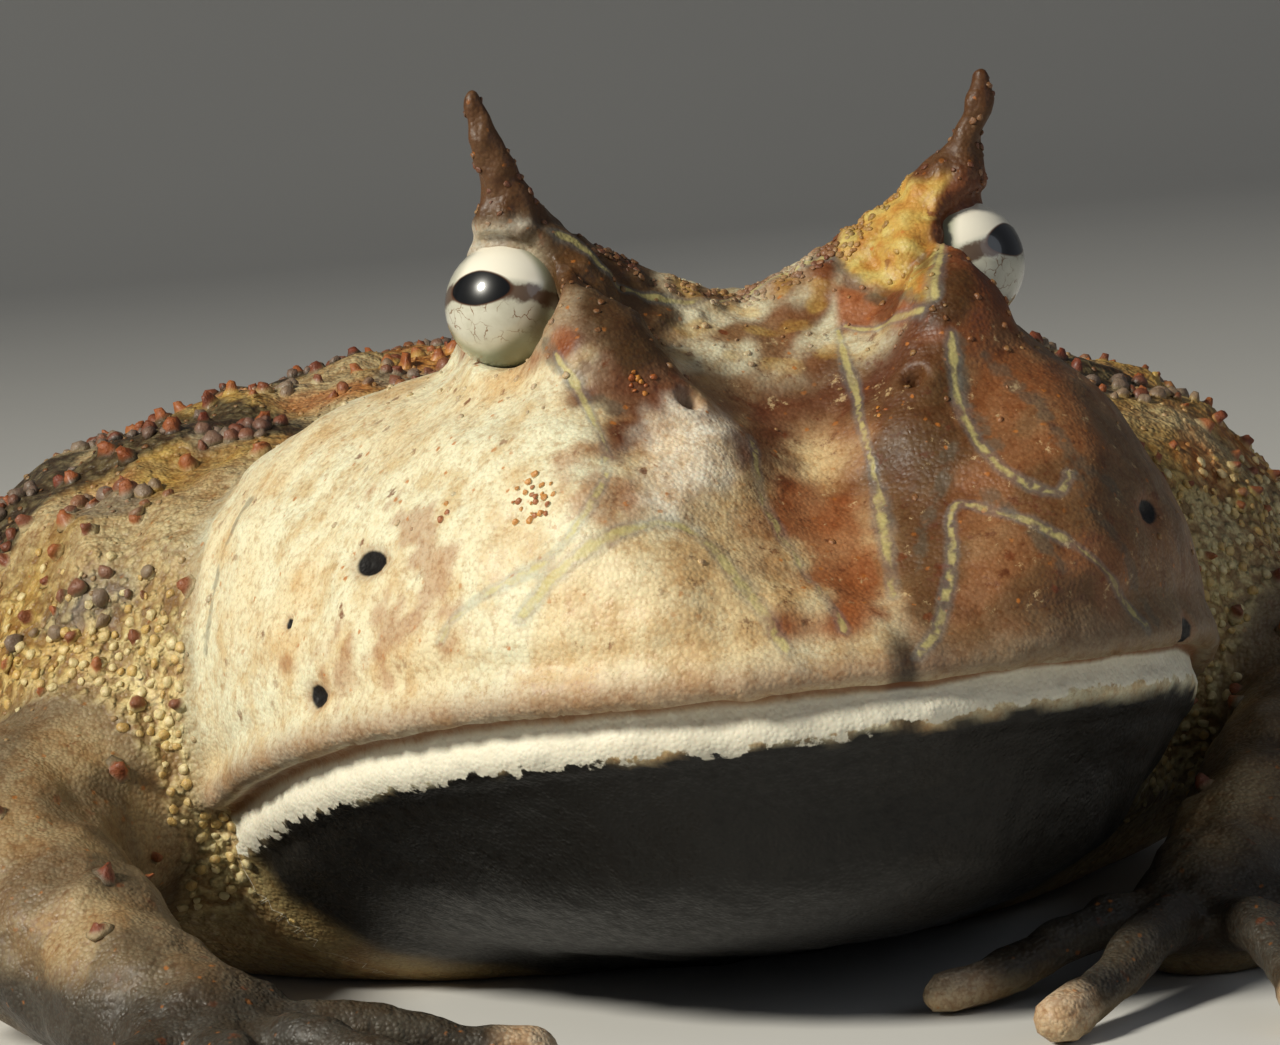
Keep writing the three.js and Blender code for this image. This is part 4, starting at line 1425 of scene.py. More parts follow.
    def growth(self, s: Survey) -> dict[str, Array]:
        """How thickly each kind of grain grows at each point, by the name of its share.

        Args:
            s: The points' measures.

        Returns:
            Each share by its name.
        """
        p, h, small, face, limb = s.points, s.over_mouth, s.small, s.face, s.limb
        _, y, z = p.T
        trunk = s.bare_trunk
        warts = trunk * ramp(z, 9.0, 15.0) * ramp(small + s.medium, -0.9, 0.3)
        warts = warts + 0.3 * limb * ramp(z, 7.0, 10.0)
        lumps = 0.8 * trunk * ramp(z, 19.0, 24.0) * ramp(ripples(p, 7.0, 34) + 0.3 * small, 0.2, 0.7)
        granules = face * ramp(h, 3.0, 5.0) * (0.04 + 0.4 * ramp(z, 31.0, 34.0))
        granules = granules + 0.35 * trunk * ramp(z, 5.0, 9.0)
        granules = granules + 0.5 * limb * ramp(z, 3.5, 6.0) * ramp(y, -14.0, -8.0)
        beads = s.corner * (1.0 - limb) + 0.6 * self.flank(s)
        crest = rod(s.folded, (0.0, -25.4, 35.4), (12.4, -26.6, 41.3), 0.0, 0.0)
        crest = face * ramp(crest, 1.7, 1.0) * ramp(z, 34.5, 36.0) * ramp(ripples(p, 4.0, 41), -0.7, 0.5)
        from_eye = np.linalg.norm(s.folded - np.array(self.form.eye), axis=1)
        away = ramp(self.form.lids(s.folded), 0.7, 1.3) * ramp(from_eye, 3.6, 4.4)
        return {
            "wart_share": warts * away,
            "lump_share": lumps,
            "granule_share": np.clip(granules, 0.0, 1.0) * away * (1.0 - s.horn),
            "bead_share": np.clip(beads * (1.0 - ramp(face, 0.1, 0.7)) * away, 0.0, 1.0),
            "crest_share": np.clip(crest + 0.15 * s.horn, 0.0, 1.0) * away,
            "amber_share": self.amber(s),
        }

    def build(self) -> bpy.types.Object:
        """Builds the skin with its attributes and its material.

        Returns:
            The skin.
        """
        vertices, quads = self.rough_mesh()
        points, faces = self.refine(vertices, quads)
        survey = Survey.of(self.form, points)
        values = self.paint(survey) | self.growth(survey)
        out = self.form.slope(points)
        points = points + out * self.relief(survey)[:, None]
        points[:, 2] = np.maximum(points[:, 2], 0.0)
        skin = mesh_object("frog_skin", to_row(points), faces)
        for name, value in values.items():
            store(skin.data, name, value)
        skin.data.shade_smooth()
        skin.data.materials.append(SkinShader(SkinFinish()).build())
        return skin


# Materials


class Wash:
    """Colours that the shaders lay over the skin's and the eyes' own, linear. Some of them are painted shade
    or highlight, as noted.
    """

    WARM = linear("dcb98c")
    TAN = linear("c29a70")
    UMBER = linear("a88460")
    # painted shade in the crevices between granules
    CREVICE_SHADE = linear("a8794c")
    # paler pebble tops, partly their own colour and partly painted highlight
    PEBBLE = linear("dccb94")
    # painted shade in the furrows between pebbles
    FURROW_SHADE = linear("8a6236")
    ORANGE_SPECK = linear("b26a28")
    DARK_SPECK = linear("6a3416")
    VEIN = linear("504c40")
    PIT_RIM = linear("7e4a2a")
    # near black: painted shade at the bottom of the pits
    PIT = linear("0b0706")
    WART = linear("a06a50")
    EYE_CLOUD = linear("aeab98")
    PUPIL = linear("040405")


class Wiring:
    """Adds nodes to a tree and joins them."""

    def __init__(self, tree: bpy.types.NodeTree) -> None:
        """Starts with the tree that takes the nodes."""
        self.tree = tree

    def add(self, kind: str, inputs: dict[str | int, object] | None = None, **settings: object) -> Node:
        """Adds one node.

        Args:
            kind: The node's type.
            inputs: A value or another node's output for each input that is set.
            **settings: The node's own options.

        Returns:
            The node.
        """
        node = self.tree.nodes.new(kind)
        for name, value in settings.items():
            setattr(node, name, value)
        for key, value in (inputs or {}).items():
            if isinstance(value, Socket):
                self.tree.links.new(value, node.inputs[key])
            else:
                node.inputs[key].default_value = value
        return node

    def read(self, name: str) -> Node:
        """A node that reads a named attribute of the mesh."""
        return self.add("ShaderNodeAttribute", attribute_name=name)

    def maths(self, operation: str, *values: object) -> Socket:
        """A calculation on numbers."""
        return self.add("ShaderNodeMath", dict(enumerate(values)), operation=operation).outputs[0]

    def times(self, a: object, b: object) -> Socket:
        """The product of two numbers."""
        return self.maths("MULTIPLY", a, b)

    def plus(self, a: object, b: object) -> Socket:
        """The sum of two numbers."""
        return self.maths("ADD", a, b)

    def span(
        self, value: object, low: float, high: float, out_low: float = 0.0, out_high: float = 1.0
    ) -> Socket:
        """Carries a value smoothly from one span to another, and no further.

        Args:
            value: The value.
            low: What becomes out_low.
            high: What becomes out_high, and may be the smaller one.
            out_low: The new span's first end.
            out_high: The new span's other end.

        Returns:
            The carried value.
        """
        inputs = {0: value, 1: low, 2: high, 3: out_low, 4: out_high}
        return self.add("ShaderNodeMapRange", inputs, interpolation_type="SMOOTHSTEP").outputs[0]

    def mix(self, share: object, a: object, b: object, way: str = "MIX") -> Socket:
        """Mixes two colours."""
        return self.add("ShaderNodeMix", {0: share, 6: a, 7: b}, data_type="RGBA", blend_type=way).outputs[2]

    def coat(self, share: object, colour: object, over: Array) -> Socket:
        """Lays a colour over another by a share."""
        return self.mix(share, colour, rgba(over))

    def shade(self, share: object, colour: object, by: Array) -> Socket:
        """Multiplies a colour by another by a share."""
        return self.mix(share, colour, self.mix(1.0, colour, rgba(by), "MULTIPLY"))

    def noise(self, place: object, size: float, detail: float = 3.0, rough: float = 0.55) -> Socket:
        """Cloudy noise whose clouds have a size in millimetres."""
        inputs = {"Vector": place, "Scale": 1.0 / (size * MM), "Detail": detail, "Roughness": rough}
        return self.add("ShaderNodeTexNoise", inputs).outputs[0]

    def grains(self, place: object, size: float, **settings: object) -> Node:
        """Cell noise whose cells have a size in millimetres."""
        inputs = {"Vector": place, "Scale": 1.0 / (size * MM), "Randomness": 0.9}
        return self.add("ShaderNodeTexVoronoi", inputs, **settings)

    def bump(self, height: object, depth: float, under: object | None = None) -> Socket:
        """A bump of a depth in millimetres over another one.

        Args:
            height: The height, in shares of the depth.
            depth: The depth.
            under: The bump under this one.

        Returns:
            The bumped normal.
        """
        inputs: dict[str | int, object] = {"Height": height, "Distance": depth * MM, "Strength": 1.0}
        if under is not None:
            inputs["Normal"] = under
        return self.add("ShaderNodeBump", inputs).outputs[0]


def rgba(colour: Array) -> tuple[float, float, float, float]:
    """A linear colour with full cover, as a node's input takes it."""
    return (float(colour[0]), float(colour[1]), float(colour[2]), 1.0)


def give(node: Node, values: dict[str, object]) -> None:
    """Sets the values of a node's inputs by their names."""
    for name, value in values.items():
        node.inputs[name].default_value = value


def new_material(name: str) -> tuple[bpy.types.Material, Wiring, Node, Socket]:
    """An empty material.

    Args:
        name: The material's name.

    Returns:
        The material, the wiring of its tree, its shader node and the Object coordinates.
    """
    material = bpy.data.materials.new(name)
    material.use_nodes = True
    wiring = Wiring(material.node_tree)
    shader = material.node_tree.nodes["Principled BSDF"]
    place = wiring.add("ShaderNodeTexCoord").outputs["Object"]
    return material, wiring, shader, place


@dataclass(frozen=True)
class SkinFinish:
    """How rough the moist skin is, and its granules' and pebbles' widths and depths in millimetres."""

    roughness: float = 0.5
    granule: float = 0.26
    granule_depth: float = 0.06
    pebble: float = 0.62
    pebble_depth: float = 0.34
    fine_depth: float = 0.03


class SkinShader:
    """The skin's shader while it is built, one layer of colour over another."""

    def __init__(self, finish: SkinFinish) -> None:
        """Starts with what the mesh stores and the noises that several layers use.

        Args:
            finish: The skin's roughness, widths and depths.
        """
        self.finish = finish
        self.material, self.w, self.shader, self.place = new_material("skin_finish")
        w, place = self.w, self.place
        self.colour = w.read("tone").outputs["Color"]
        self.line = w.read("line").outputs["Fac"]
        self.vein = w.read("vein").outputs["Fac"]
        self.lip = w.read("lip").outputs["Fac"]
        self.speck = w.read("speck").outputs["Fac"]
        self.mottle = w.read("mottle").outputs["Fac"]
        self.grain = w.read("grain").outputs["Fac"]
        self.pit = w.read("pit").outputs["Fac"]
        self.clouds = w.noise(place, 2.4, 6.0, 0.68)
        self.fine = w.noise(place, 0.5, 4.0, 0.7)
        self.dust = w.noise(place, 0.2, 2.0, 0.6)
        self.small = w.grains(place, finish.granule, feature="F1").outputs["Distance"]
        self.large = w.grains(place, finish.granule * 2.7, feature="SMOOTH_F1").outputs["Distance"]

    def cloud(self) -> None:
        """Lays clouds, mottling and dust over the skin's tone, and painted shade in the crevices between the
        granules.
        """
        w, colour = self.w, self.colour
        warm = w.mix(1.0, colour, rgba(Wash.WARM), "MULTIPLY")
        colour = w.mix(w.span(self.clouds, 0.42, 0.66, 0.0, 0.6), colour, warm)
        patch = w.noise(self.place, 1.1, 6.0, 0.75)
        for low, high, cover, over in (
            (0.56, 0.66, 0.65, Pigment.DEEP_RUST),
            (0.40, 0.32, 0.55, Pigment.PEACH),
        ):
            colour = w.coat(w.times(w.span(patch, low, high, 0.0, cover), self.mottle), colour, over)
        colour = w.shade(w.span(self.fine, 0.50, 0.34, 0.0, 0.4), colour, Wash.TAN)
        colour = w.shade(w.span(self.dust, 0.56, 0.72, 0.0, 0.3), colour, Wash.UMBER)
        light = rgba(Pigment.LIP_WHITE)
        colour = w.mix(w.span(self.dust, 0.44, 0.30, 0.0, 0.25), colour, light, "SOFT_LIGHT")
        # painted shade in the crevices between the granules
        crevice_shade = w.times(w.span(self.small, 0.5, 0.85, 0.0, 0.5), self.grain)
        self.colour = w.shade(crevice_shade, colour, Wash.CREVICE_SHADE)

    def pebbles(self) -> Socket:
        """Lays pebbles over the skin, paler on their tops than in the furrows between them: the tops partly
        their own colour and partly painted highlight, the furrows painted shade.

        Returns:
            The pebbles' height, from 0 in the furrows to 1 on top.
        """
        w, colour = self.w, self.colour
        pebble = w.read("pebble").outputs["Fac"]
        far = w.grains(self.place, self.finish.pebble, feature="SMOOTH_F1").outputs["Distance"]
        dome = w.span(far, 0.1, 0.62, 1.0, 0.0)
        # the pebbles' paler tops, partly their own colour and partly painted highlight
        light = w.coat(0.45, colour, Wash.PEBBLE)
        height = w.times(dome, pebble)
        colour = w.mix(w.times(height, 0.75), colour, light)
        # painted shade in the furrows between the pebbles
        furrow = w.times(w.span(dome, 0.4, 0.05), pebble)
        self.colour = w.shade(w.times(furrow, 0.6), colour, Wash.FURROW_SHADE)
        return height

    def specks(self) -> None:
        """Lays orange and dark specks over the skin, in clusters."""
        w = self.w
        speck = w.times(self.speck, w.span(w.noise(self.place, 5.0, 2.0), 0.42, 0.58, 0.4, 1.0))
        kinds = ((0.7, 0.62, Wash.ORANGE_SPECK, 0.8), (1.5, 0.60, Wash.DARK_SPECK, 0.85))
        for size, low, over, cover in kinds:
            spots = w.grains(self.place, size, feature="F1")
            chance = w.add("ShaderNodeSeparateColor", {0: spots.outputs["Color"]}).outputs[0]
            chosen = w.span(chance, low, low + 0.05)
            edge = w.plus(spots.outputs["Distance"], w.span(self.fine, 0.3, 0.7, -0.12, 0.12))
            mark = w.times(w.span(edge, 0.22, 0.08), w.times(chosen, speck))
            self.colour = w.coat(w.times(mark, cover), self.colour, over)

    def lines(self) -> None:
        """Lays the slate veins and the yellow lines over the face."""
        w, colour = self.w, self.colour
        wander = w.plus(self.vein, w.span(w.noise(self.place, 1.2, 3.0), 0.3, 0.7, -0.3, 0.3))
        colour = w.coat(w.span(wander, 0.46, 0.05, 0.0, 0.5), colour, Wash.VEIN)
        wander = w.plus(self.line, w.span(w.noise(self.place, 0.9, 3.0), 0.3, 0.7, -0.08, 0.08))
        colour = w.coat(w.span(wander, 0.60, 0.26, 0.0, 0.3), colour, Pigment.SLATE)
        broken = w.span(w.noise(self.place, 2.2, 2.0), 0.3, 0.55, 0.3, 0.56)
        self.colour = w.coat(w.times(w.span(wander, 0.27, 0.07), broken), colour, Pigment.YELLOW)

    def lips(self) -> None:
        """Lays the white lip, the cleft of the mouth and the dark pits over the face; the lip's brightness is
        partly painted light and the pits' bottoms are painted shade.
        """
        w, colour, lip = self.w, self.colour, self.lip
        ragged = w.plus(lip, w.span(w.noise(self.place, 1.0, 4.0), 0.3, 0.7, -0.4, 0.4))
        # a pale band along the lower lip's rim: its own pale colour, painted brighter as the light on the rim
        # over the shaded throat
        white = w.times(w.span(lip, -0.12, -0.34), w.span(ragged, -2.2, -2.0))
        white = w.times(white, w.span(self.fine, 0.2, 0.6, 0.8, 0.95))
        colour = w.coat(white, colour, Pigment.LIP_WHITE)
        cleft = w.span(w.maths("ABSOLUTE", lip), 0.34, 0.08)
        colour = w.coat(w.times(cleft, 0.8), colour, Pigment.CLEFT)
        colour = w.coat(w.span(self.pit, 0.05, 0.35, 0.0, 0.35), colour, Wash.PIT_RIM)
        # near black at the pits' bottoms: painted shade in the hollows
        self.colour = w.coat(w.span(self.pit, 0.38, 0.55), colour, Wash.PIT)

    def bumps(self, pebbles: Socket) -> Socket:
        """The bump of granules of two sizes, of the pebbles and of the finest grain.

        Args:
            pebbles: The pebbles' height.

        Returns:
            The bumped normal.
        """
        w, finish = self.w, self.finish
        bump = None
        for cells, depth in ((self.small, finish.granule_depth), (self.large, finish.granule_depth * 1.5)):
            bump = w.bump(w.times(w.span(cells, 0.0, 0.8, 1.0, 0.0), self.grain), depth, bump)
        bump = w.bump(pebbles, finish.pebble_depth, bump)
        return w.bump(w.plus(self.fine, w.times(self.dust, 0.4)), finish.fine_depth, bump)

    def build(self) -> bpy.types.Material:
        """Lays every layer and finishes the material.

        Returns:
            The material.
        """
        w, finish = self.w, self.finish
        self.cloud()
        pebbles = self.pebbles()
        self.specks()
        self.lines()
        self.lips()
        rough = w.span(self.fine, 0.3, 0.7, finish.roughness - 0.1, finish.roughness + 0.14)
        w.tree.links.new(self.colour, self.shader.inputs["Base Color"])
        w.tree.links.new(rough, self.shader.inputs["Roughness"])
        w.tree.links.new(self.bumps(pebbles), self.shader.inputs["Normal"])
        give(
            self.shader,
            {
                "Subsurface Weight": 0.07,
                "Subsurface Radius": (1.0, 0.42, 0.25),
                "Subsurface Scale": 0.9 * MM,
                "Coat Weight": 0.06,
                "Coat Roughness": 0.3,
                "Specular IOR Level": 0.32,
            },
        )
        return self.material


@dataclass(frozen=True)
class GrainFinish:
    """A wart, granule or bead: the skin's own colour at its foot, and a colour of its own at its tip."""

    name: str
    tip: Array
    other_tip: Array
    share: float
    roughness: float

    def material(self) -> bpy.types.Material:
        """Makes the material.

        Returns:
            The material.
        """
        material, w, shader, place = new_material(self.name)
        tone = w.read("tone").outputs["Color"]
        rise = w.read("rise").outputs["Fac"]
        chance = w.read("chance").outputs["Fac"]
        fine = w.noise(place, 0.35, 4.0, 0.65)
        colour = w.mix(w.span(chance, 0.35, 0.65), rgba(self.tip), rgba(self.other_tip))
        colour = w.shade(w.span(fine, 0.3, 0.7, 0.0, 0.35), colour, Wash.WART)
        colour = w.mix(w.times(w.span(rise, 0.0, 0.55), self.share), tone, colour)
        w.tree.links.new(colour, shader.inputs["Base Color"])
        w.tree.links.new(w.bump(fine, 0.14), shader.inputs["Normal"])
        give(
            shader,
            {
                "Roughness": self.roughness,
                "Subsurface Weight": 0.1,
                "Subsurface Radius": (1.0, 0.45, 0.25),
                "Subsurface Scale": 0.5 * MM,
                "Coat Weight": 0.12,
                "Coat Roughness": 0.25,
            },
        )
        return material


@dataclass(frozen=True)
class EyeFinish:
    """A wet cream eyeball with fine brown veins, a brown band and a level black pupil, whiter above the
    pupil, partly painted light, and greyer at its edge, painted shade where the lids meet it.
    """

    cream: Array = field(default_factory=lambda: linear("c6c4b4"))
    # the pale band above the pupil, partly the eye's own cream and partly painted light
    white: Array = field(default_factory=lambda: linear("efe9d8"))
    vein: Array = field(default_factory=lambda: linear("7a5a3a"))
    band: Array = field(default_factory=lambda: linear("4a2c18"))
    # the greyer edge of the eyeball: painted shade where the lids meet it
    rim: Array = field(default_factory=lambda: linear("7c8268"))

    def material(self) -> bpy.types.Material:
        """Makes the eye's material.

        Returns:
            The material.
        """
        material, w, shader, place = new_material("eye_finish")
        across = w.read("across").outputs["Fac"]
        up = w.read("up").outputs["Fac"]
        clouds = w.noise(place, 0.9, 4.0, 0.6)
        colour = w.mix(w.span(clouds, 0.35, 0.7, 0.0, 0.5), rgba(self.cream), rgba(Wash.EYE_CLOUD))
        # whiter above the pupil, partly painted light
        colour = w.coat(w.times(w.span(up, 0.3, 0.7), w.span(across, -2.0, -0.8)), colour, self.white)
        given = {"Vector": place, "Scale": 1.0 / (0.7 * MM), "Detail": 3.0}
        warp = w.add("ShaderNodeTexNoise", given).outputs["Color"]
        given = {0: warp, 1: (0.9 * MM,) * 3, 2: place}
        bent = w.add("ShaderNodeVectorMath", given, operation="MULTIPLY_ADD").outputs[0]
        veins = w.grains(bent, 0.75, feature="DISTANCE_TO_EDGE").outputs["Distance"]
        lower = w.times(w.span(up, -0.5, -1.1), w.span(up, -3.2, -2.2))
        lower = w.times(lower, w.span(w.noise(place, 1.0, 2.0), 0.4, 0.6))
        colour = w.coat(w.times(w.span(veins, 0.05, 0.01), lower), colour, self.vein)
        far = w.maths("SQRT", w.plus(w.times(across, across), w.times(up, up)))
        # greyer towards the edge: painted shade where the lids meet the eyeball
        colour = w.coat(w.span(far, 3.1, 3.9, 0.0, 0.9), colour, self.rim)
        wave = w.span(w.noise(place, 0.7, 3.0), 0.3, 0.7, -0.16, 0.16)
        level = w.maths("ABSOLUTE", w.plus(w.plus(up, wave), 0.12))
        stripe = w.times(w.span(level, 0.62, 0.3), w.span(w.maths("ABSOLUTE", across), 1.0, 1.5))
        colour = w.coat(w.times(stripe, 0.9), colour, self.band)
        wide = w.maths("POWER", w.maths("ABSOLUTE", w.maths("DIVIDE", across, 1.75)), 1.6)
        tall = w.maths("POWER", w.maths("ABSOLUTE", w.maths("DIVIDE", up, 0.88)), 1.9)
        pupil = w.plus(wide, tall)
        colour = w.coat(w.span(pupil, 1.3, 1.05), colour, self.band)
        colour = w.coat(w.span(pupil, 1.08, 0.98), colour, Wash.PUPIL)
        w.tree.links.new(colour, shader.inputs["Base Color"])
        give(
            shader,
            {
                "Roughness": 0.28,
                "Coat Weight": 1.0,
                "Coat Roughness": 0.04,
            },
        )
        return material


# The eyes


@dataclass
class Eye:
    """One eyeball, where the frame has its eye."""

    form: FrogForm
    side: Side
    look: Triple = (0.64, -0.70, 0.36)
    rings: int = 48

    def build(self) -> bpy.types.Object:
        """Builds the eyeball with its measures from the middle of the pupil.

        Returns:
            The eyeball.
        """
        flip = np.array([self.side.value, 1.0, 1.0])
        ahead = np.array(self.look) * flip
        ahead /= np.linalg.norm(ahead)
        across = np.cross(ahead, (0.0, 0.0, 1.0)) * self.side.value
        across /= np.linalg.norm(across)
        up = np.cross(across, ahead) * self.side.value
        ball = bmesh.new()
        bmesh.ops.create_uvsphere(ball, u_segments=self.rings, v_segments=self.rings // 2, radius=1.0)
        unit = np.array([vert.co[:] for vert in ball.verts])
        faces = [[vert.index for vert in face.verts] for face in ball.faces]
        ball.free()
        level = np.arctan2(unit @ across, unit @ ahead) * self.form.eye_radius
        tall = np.arcsin(np.clip(unit @ up, -1.0, 1.0)) * self.form.eye_radius
        centre = np.array(self.form.eye) * flip
        eye = mesh_object(f"frog_eye_{self.side.word}", to_row(centre + unit * self.form.eye_radius), faces)
        store(eye.data, "across", level)
        store(eye.data, "up", tall * np.sign(up[2]))
        eye.data.shade_smooth()
        eye.data.materials.append(EyeFinish().material())
        return eye


# What grows on the skin


class Kind(Enum):
    """The shape of a scattered grain."""

    CONE = "cone"
    BALL = "ball"


@dataclass
class Scatter:
    """Grains of one kind over the skin, set out by Geometry Nodes where an attribute of the skin says."""

    name: str
    kind: Kind
    share: str
    spacing: float
    density: float
    small: float
    large: float
    height: float
    finish: GrainFinish
    seed: int
    uneven: float = 1.2

    def tree(self) -> bpy.types.NodeTree:
        """The node tree that sets the grains out on a mesh.

        Returns:
            The tree, with its sizes, seed and finish as named inputs.
        """
        tree = bpy.data.node_groups.new(f"{self.name}_tree", "GeometryNodeTree")
        face = tree.interface
        face.new_socket("Geometry", in_out="INPUT", socket_type="NodeSocketGeometry")
        for title in ("Spacing", "Density", "Smallest", "Largest", "Height", "Unevenness"):
            face.new_socket(title, in_out="INPUT", socket_type="NodeSocketFloat")
        face.new_socket("Seed", in_out="INPUT", socket_type="NodeSocketInt")
        face.new_socket("Finish", in_out="INPUT", socket_type="NodeSocketMaterial")
        face.new_socket("Geometry", in_out="OUTPUT", socket_type="NodeSocketGeometry")
        w = Wiring(tree)
        given = w.add("NodeGroupInput").outputs
        share = w.add("GeometryNodeInputNamedAttribute", {0: self.share}, data_type="FLOAT").outputs[0]
        spread = w.add(
            "GeometryNodeDistributePointsOnFaces",
            {
                "Mesh": given["Geometry"],
                "Distance Min": given["Spacing"],
                "Density Max": given["Density"],
                "Density Factor": share,
                "Seed": given["Seed"],
            },
            distribute_method="POISSON",
        )
        grain = self.grain(w)
        size = w.add(
            "FunctionNodeRandomValue",
            {2: given["Smallest"], 3: given["Largest"], "Seed": given["Seed"]},
            data_type="FLOAT",
        ).outputs[1]
        tall = w.times(size, given["Height"])
        shape = w.add("ShaderNodeCombineXYZ", {0: size, 1: size, 2: tall}).outputs[0]
        put = w.add(
            "GeometryNodeInstanceOnPoints",
            {
                "Points": spread.outputs["Points"],
                "Instance": grain,
                "Rotation": spread.outputs["Rotation"],
                "Scale": shape,
            },
        ).outputs[0]
        chance = w.add("FunctionNodeRandomValue", {2: 0.0, 3: 1.0, "Seed": 7}, data_type="FLOAT").outputs[1]
        put = w.add(
            "GeometryNodeStoreNamedAttribute",
            {"Geometry": put, "Name": "chance", "Value": chance},
            data_type="FLOAT",
            domain="INSTANCE",
        ).outputs[0]
        real = w.add("GeometryNodeRealizeInstances", {0: put}).outputs[0]
        place = w.add("GeometryNodeInputPosition").outputs[0]
        coarse = w.maths("DIVIDE", 0.8, given["Largest"])
        inputs = {"Vector": place, "Scale": coarse, "Detail": 2.0}
        cloud = w.add("ShaderNodeTexNoise", inputs).outputs["Color"]
        shift = w.add("ShaderNodeVectorMath", {0: cloud, 1: (0.5, 0.5, 0.5)}, operation="SUBTRACT").outputs[0]
        uneven = w.times(given["Largest"], given["Unevenness"])
        shift = w.add("ShaderNodeVectorMath", {0: shift, 3: uneven}, operation="SCALE").outputs[0]
        real = w.add("GeometryNodeSetPosition", {"Geometry": real, "Offset": shift}).outputs[0]
        done = w.add("GeometryNodeSetMaterial", {"Geometry": real, "Material": given["Finish"]}).outputs[0]
        w.add("NodeGroupOutput", {0: done})
        return tree

    def grain(self, w: Wiring) -> Socket:
        """One grain of unit radius, whose height above its foot is stored on it.

        Args:
            w: The wiring of the tree that takes the grain's nodes.

        Returns:
            The grain's mesh.
        """
        place = w.add("GeometryNodeInputPosition").outputs[0]
        if self.kind is Kind.BALL:
            shape = w.add("GeometryNodeMeshIcoSphere", {"Radius": 1.0, "Subdivisions": 2}).outputs[0]
        else:
            cone = w.add(
                "GeometryNodeMeshCone",
                {"Vertices": 8, "Side Segments": 4, "Radius Top": 0.3, "Radius Bottom": 1.0, "Depth": 1.25},
                fill_type="TRIANGLE_FAN",
            ).outputs[0]
            rise = w.add("ShaderNodeSeparateXYZ", {0: place}).outputs[2]
            waist = w.times(w.maths("SINE", w.times(rise, math.pi / 1.25)), -0.16)
            inward = w.add("ShaderNodeCombineXYZ", {0: waist, 1: waist, 2: 0.0}).outputs[0]
            pull = w.add("ShaderNodeVectorMath", {0: place, 1: inward}, operation="MULTIPLY").outputs[0]
            shape = w.add("GeometryNodeSetPosition", {"Geometry": cone, "Offset": pull}).outputs[0]
            sunk = w.add("GeometryNodeTransform", {"Geometry": shape, "Translation": (0.0, 0.0, -0.25)})
            shape = sunk.outputs[0]
        rise = w.add("ShaderNodeSeparateXYZ", {0: place}).outputs[2]
        shape = w.add(
            "GeometryNodeStoreNamedAttribute",
            {"Geometry": shape, "Name": "rise", "Value": rise},
            data_type="FLOAT",
            domain="POINT",
        ).outputs[0]
        return w.add("GeometryNodeSetShadeSmooth", {"Geometry": shape}).outputs[0]

    def build(self, skin: bpy.types.Object) -> bpy.types.Object:
        """Sets the grains out over the skin.

        Args:
            skin: The skin, with the attribute that says where the grains grow.

        Returns:
            The grains as one plain mesh.
        """
        carrier = bpy.data.objects.new(f"{self.name}_carrier", skin.data)
        bpy.context.scene.collection.objects.link(carrier)
        modifier = carrier.modifiers.new("grains", "NODES")
        modifier.node_group = self.tree()
        given = {
            "Spacing": self.spacing * MM,
            "Density": self.density / MM**2,
            "Smallest": self.small * MM,
            "Largest": self.large * MM,
            "Height": self.height,
            "Unevenness": self.uneven,
            "Seed": self.seed,
            "Finish": self.finish.material(),
        }
        for item in modifier.node_group.interface.items_tree:
            if item.in_out == "INPUT" and item.name in given:
                modifier[item.identifier] = given[item.name]
        bpy.context.view_layer.update()
        evaluated = carrier.evaluated_get(bpy.context.evaluated_depsgraph_get())
        mesh = bpy.data.meshes.new_from_object(evaluated)
        bpy.data.objects.remove(carrier)
        mesh.name = self.name
        made = bpy.data.objects.new(self.name, mesh)
        bpy.context.scene.collection.objects.link(made)
        return made


# The studio


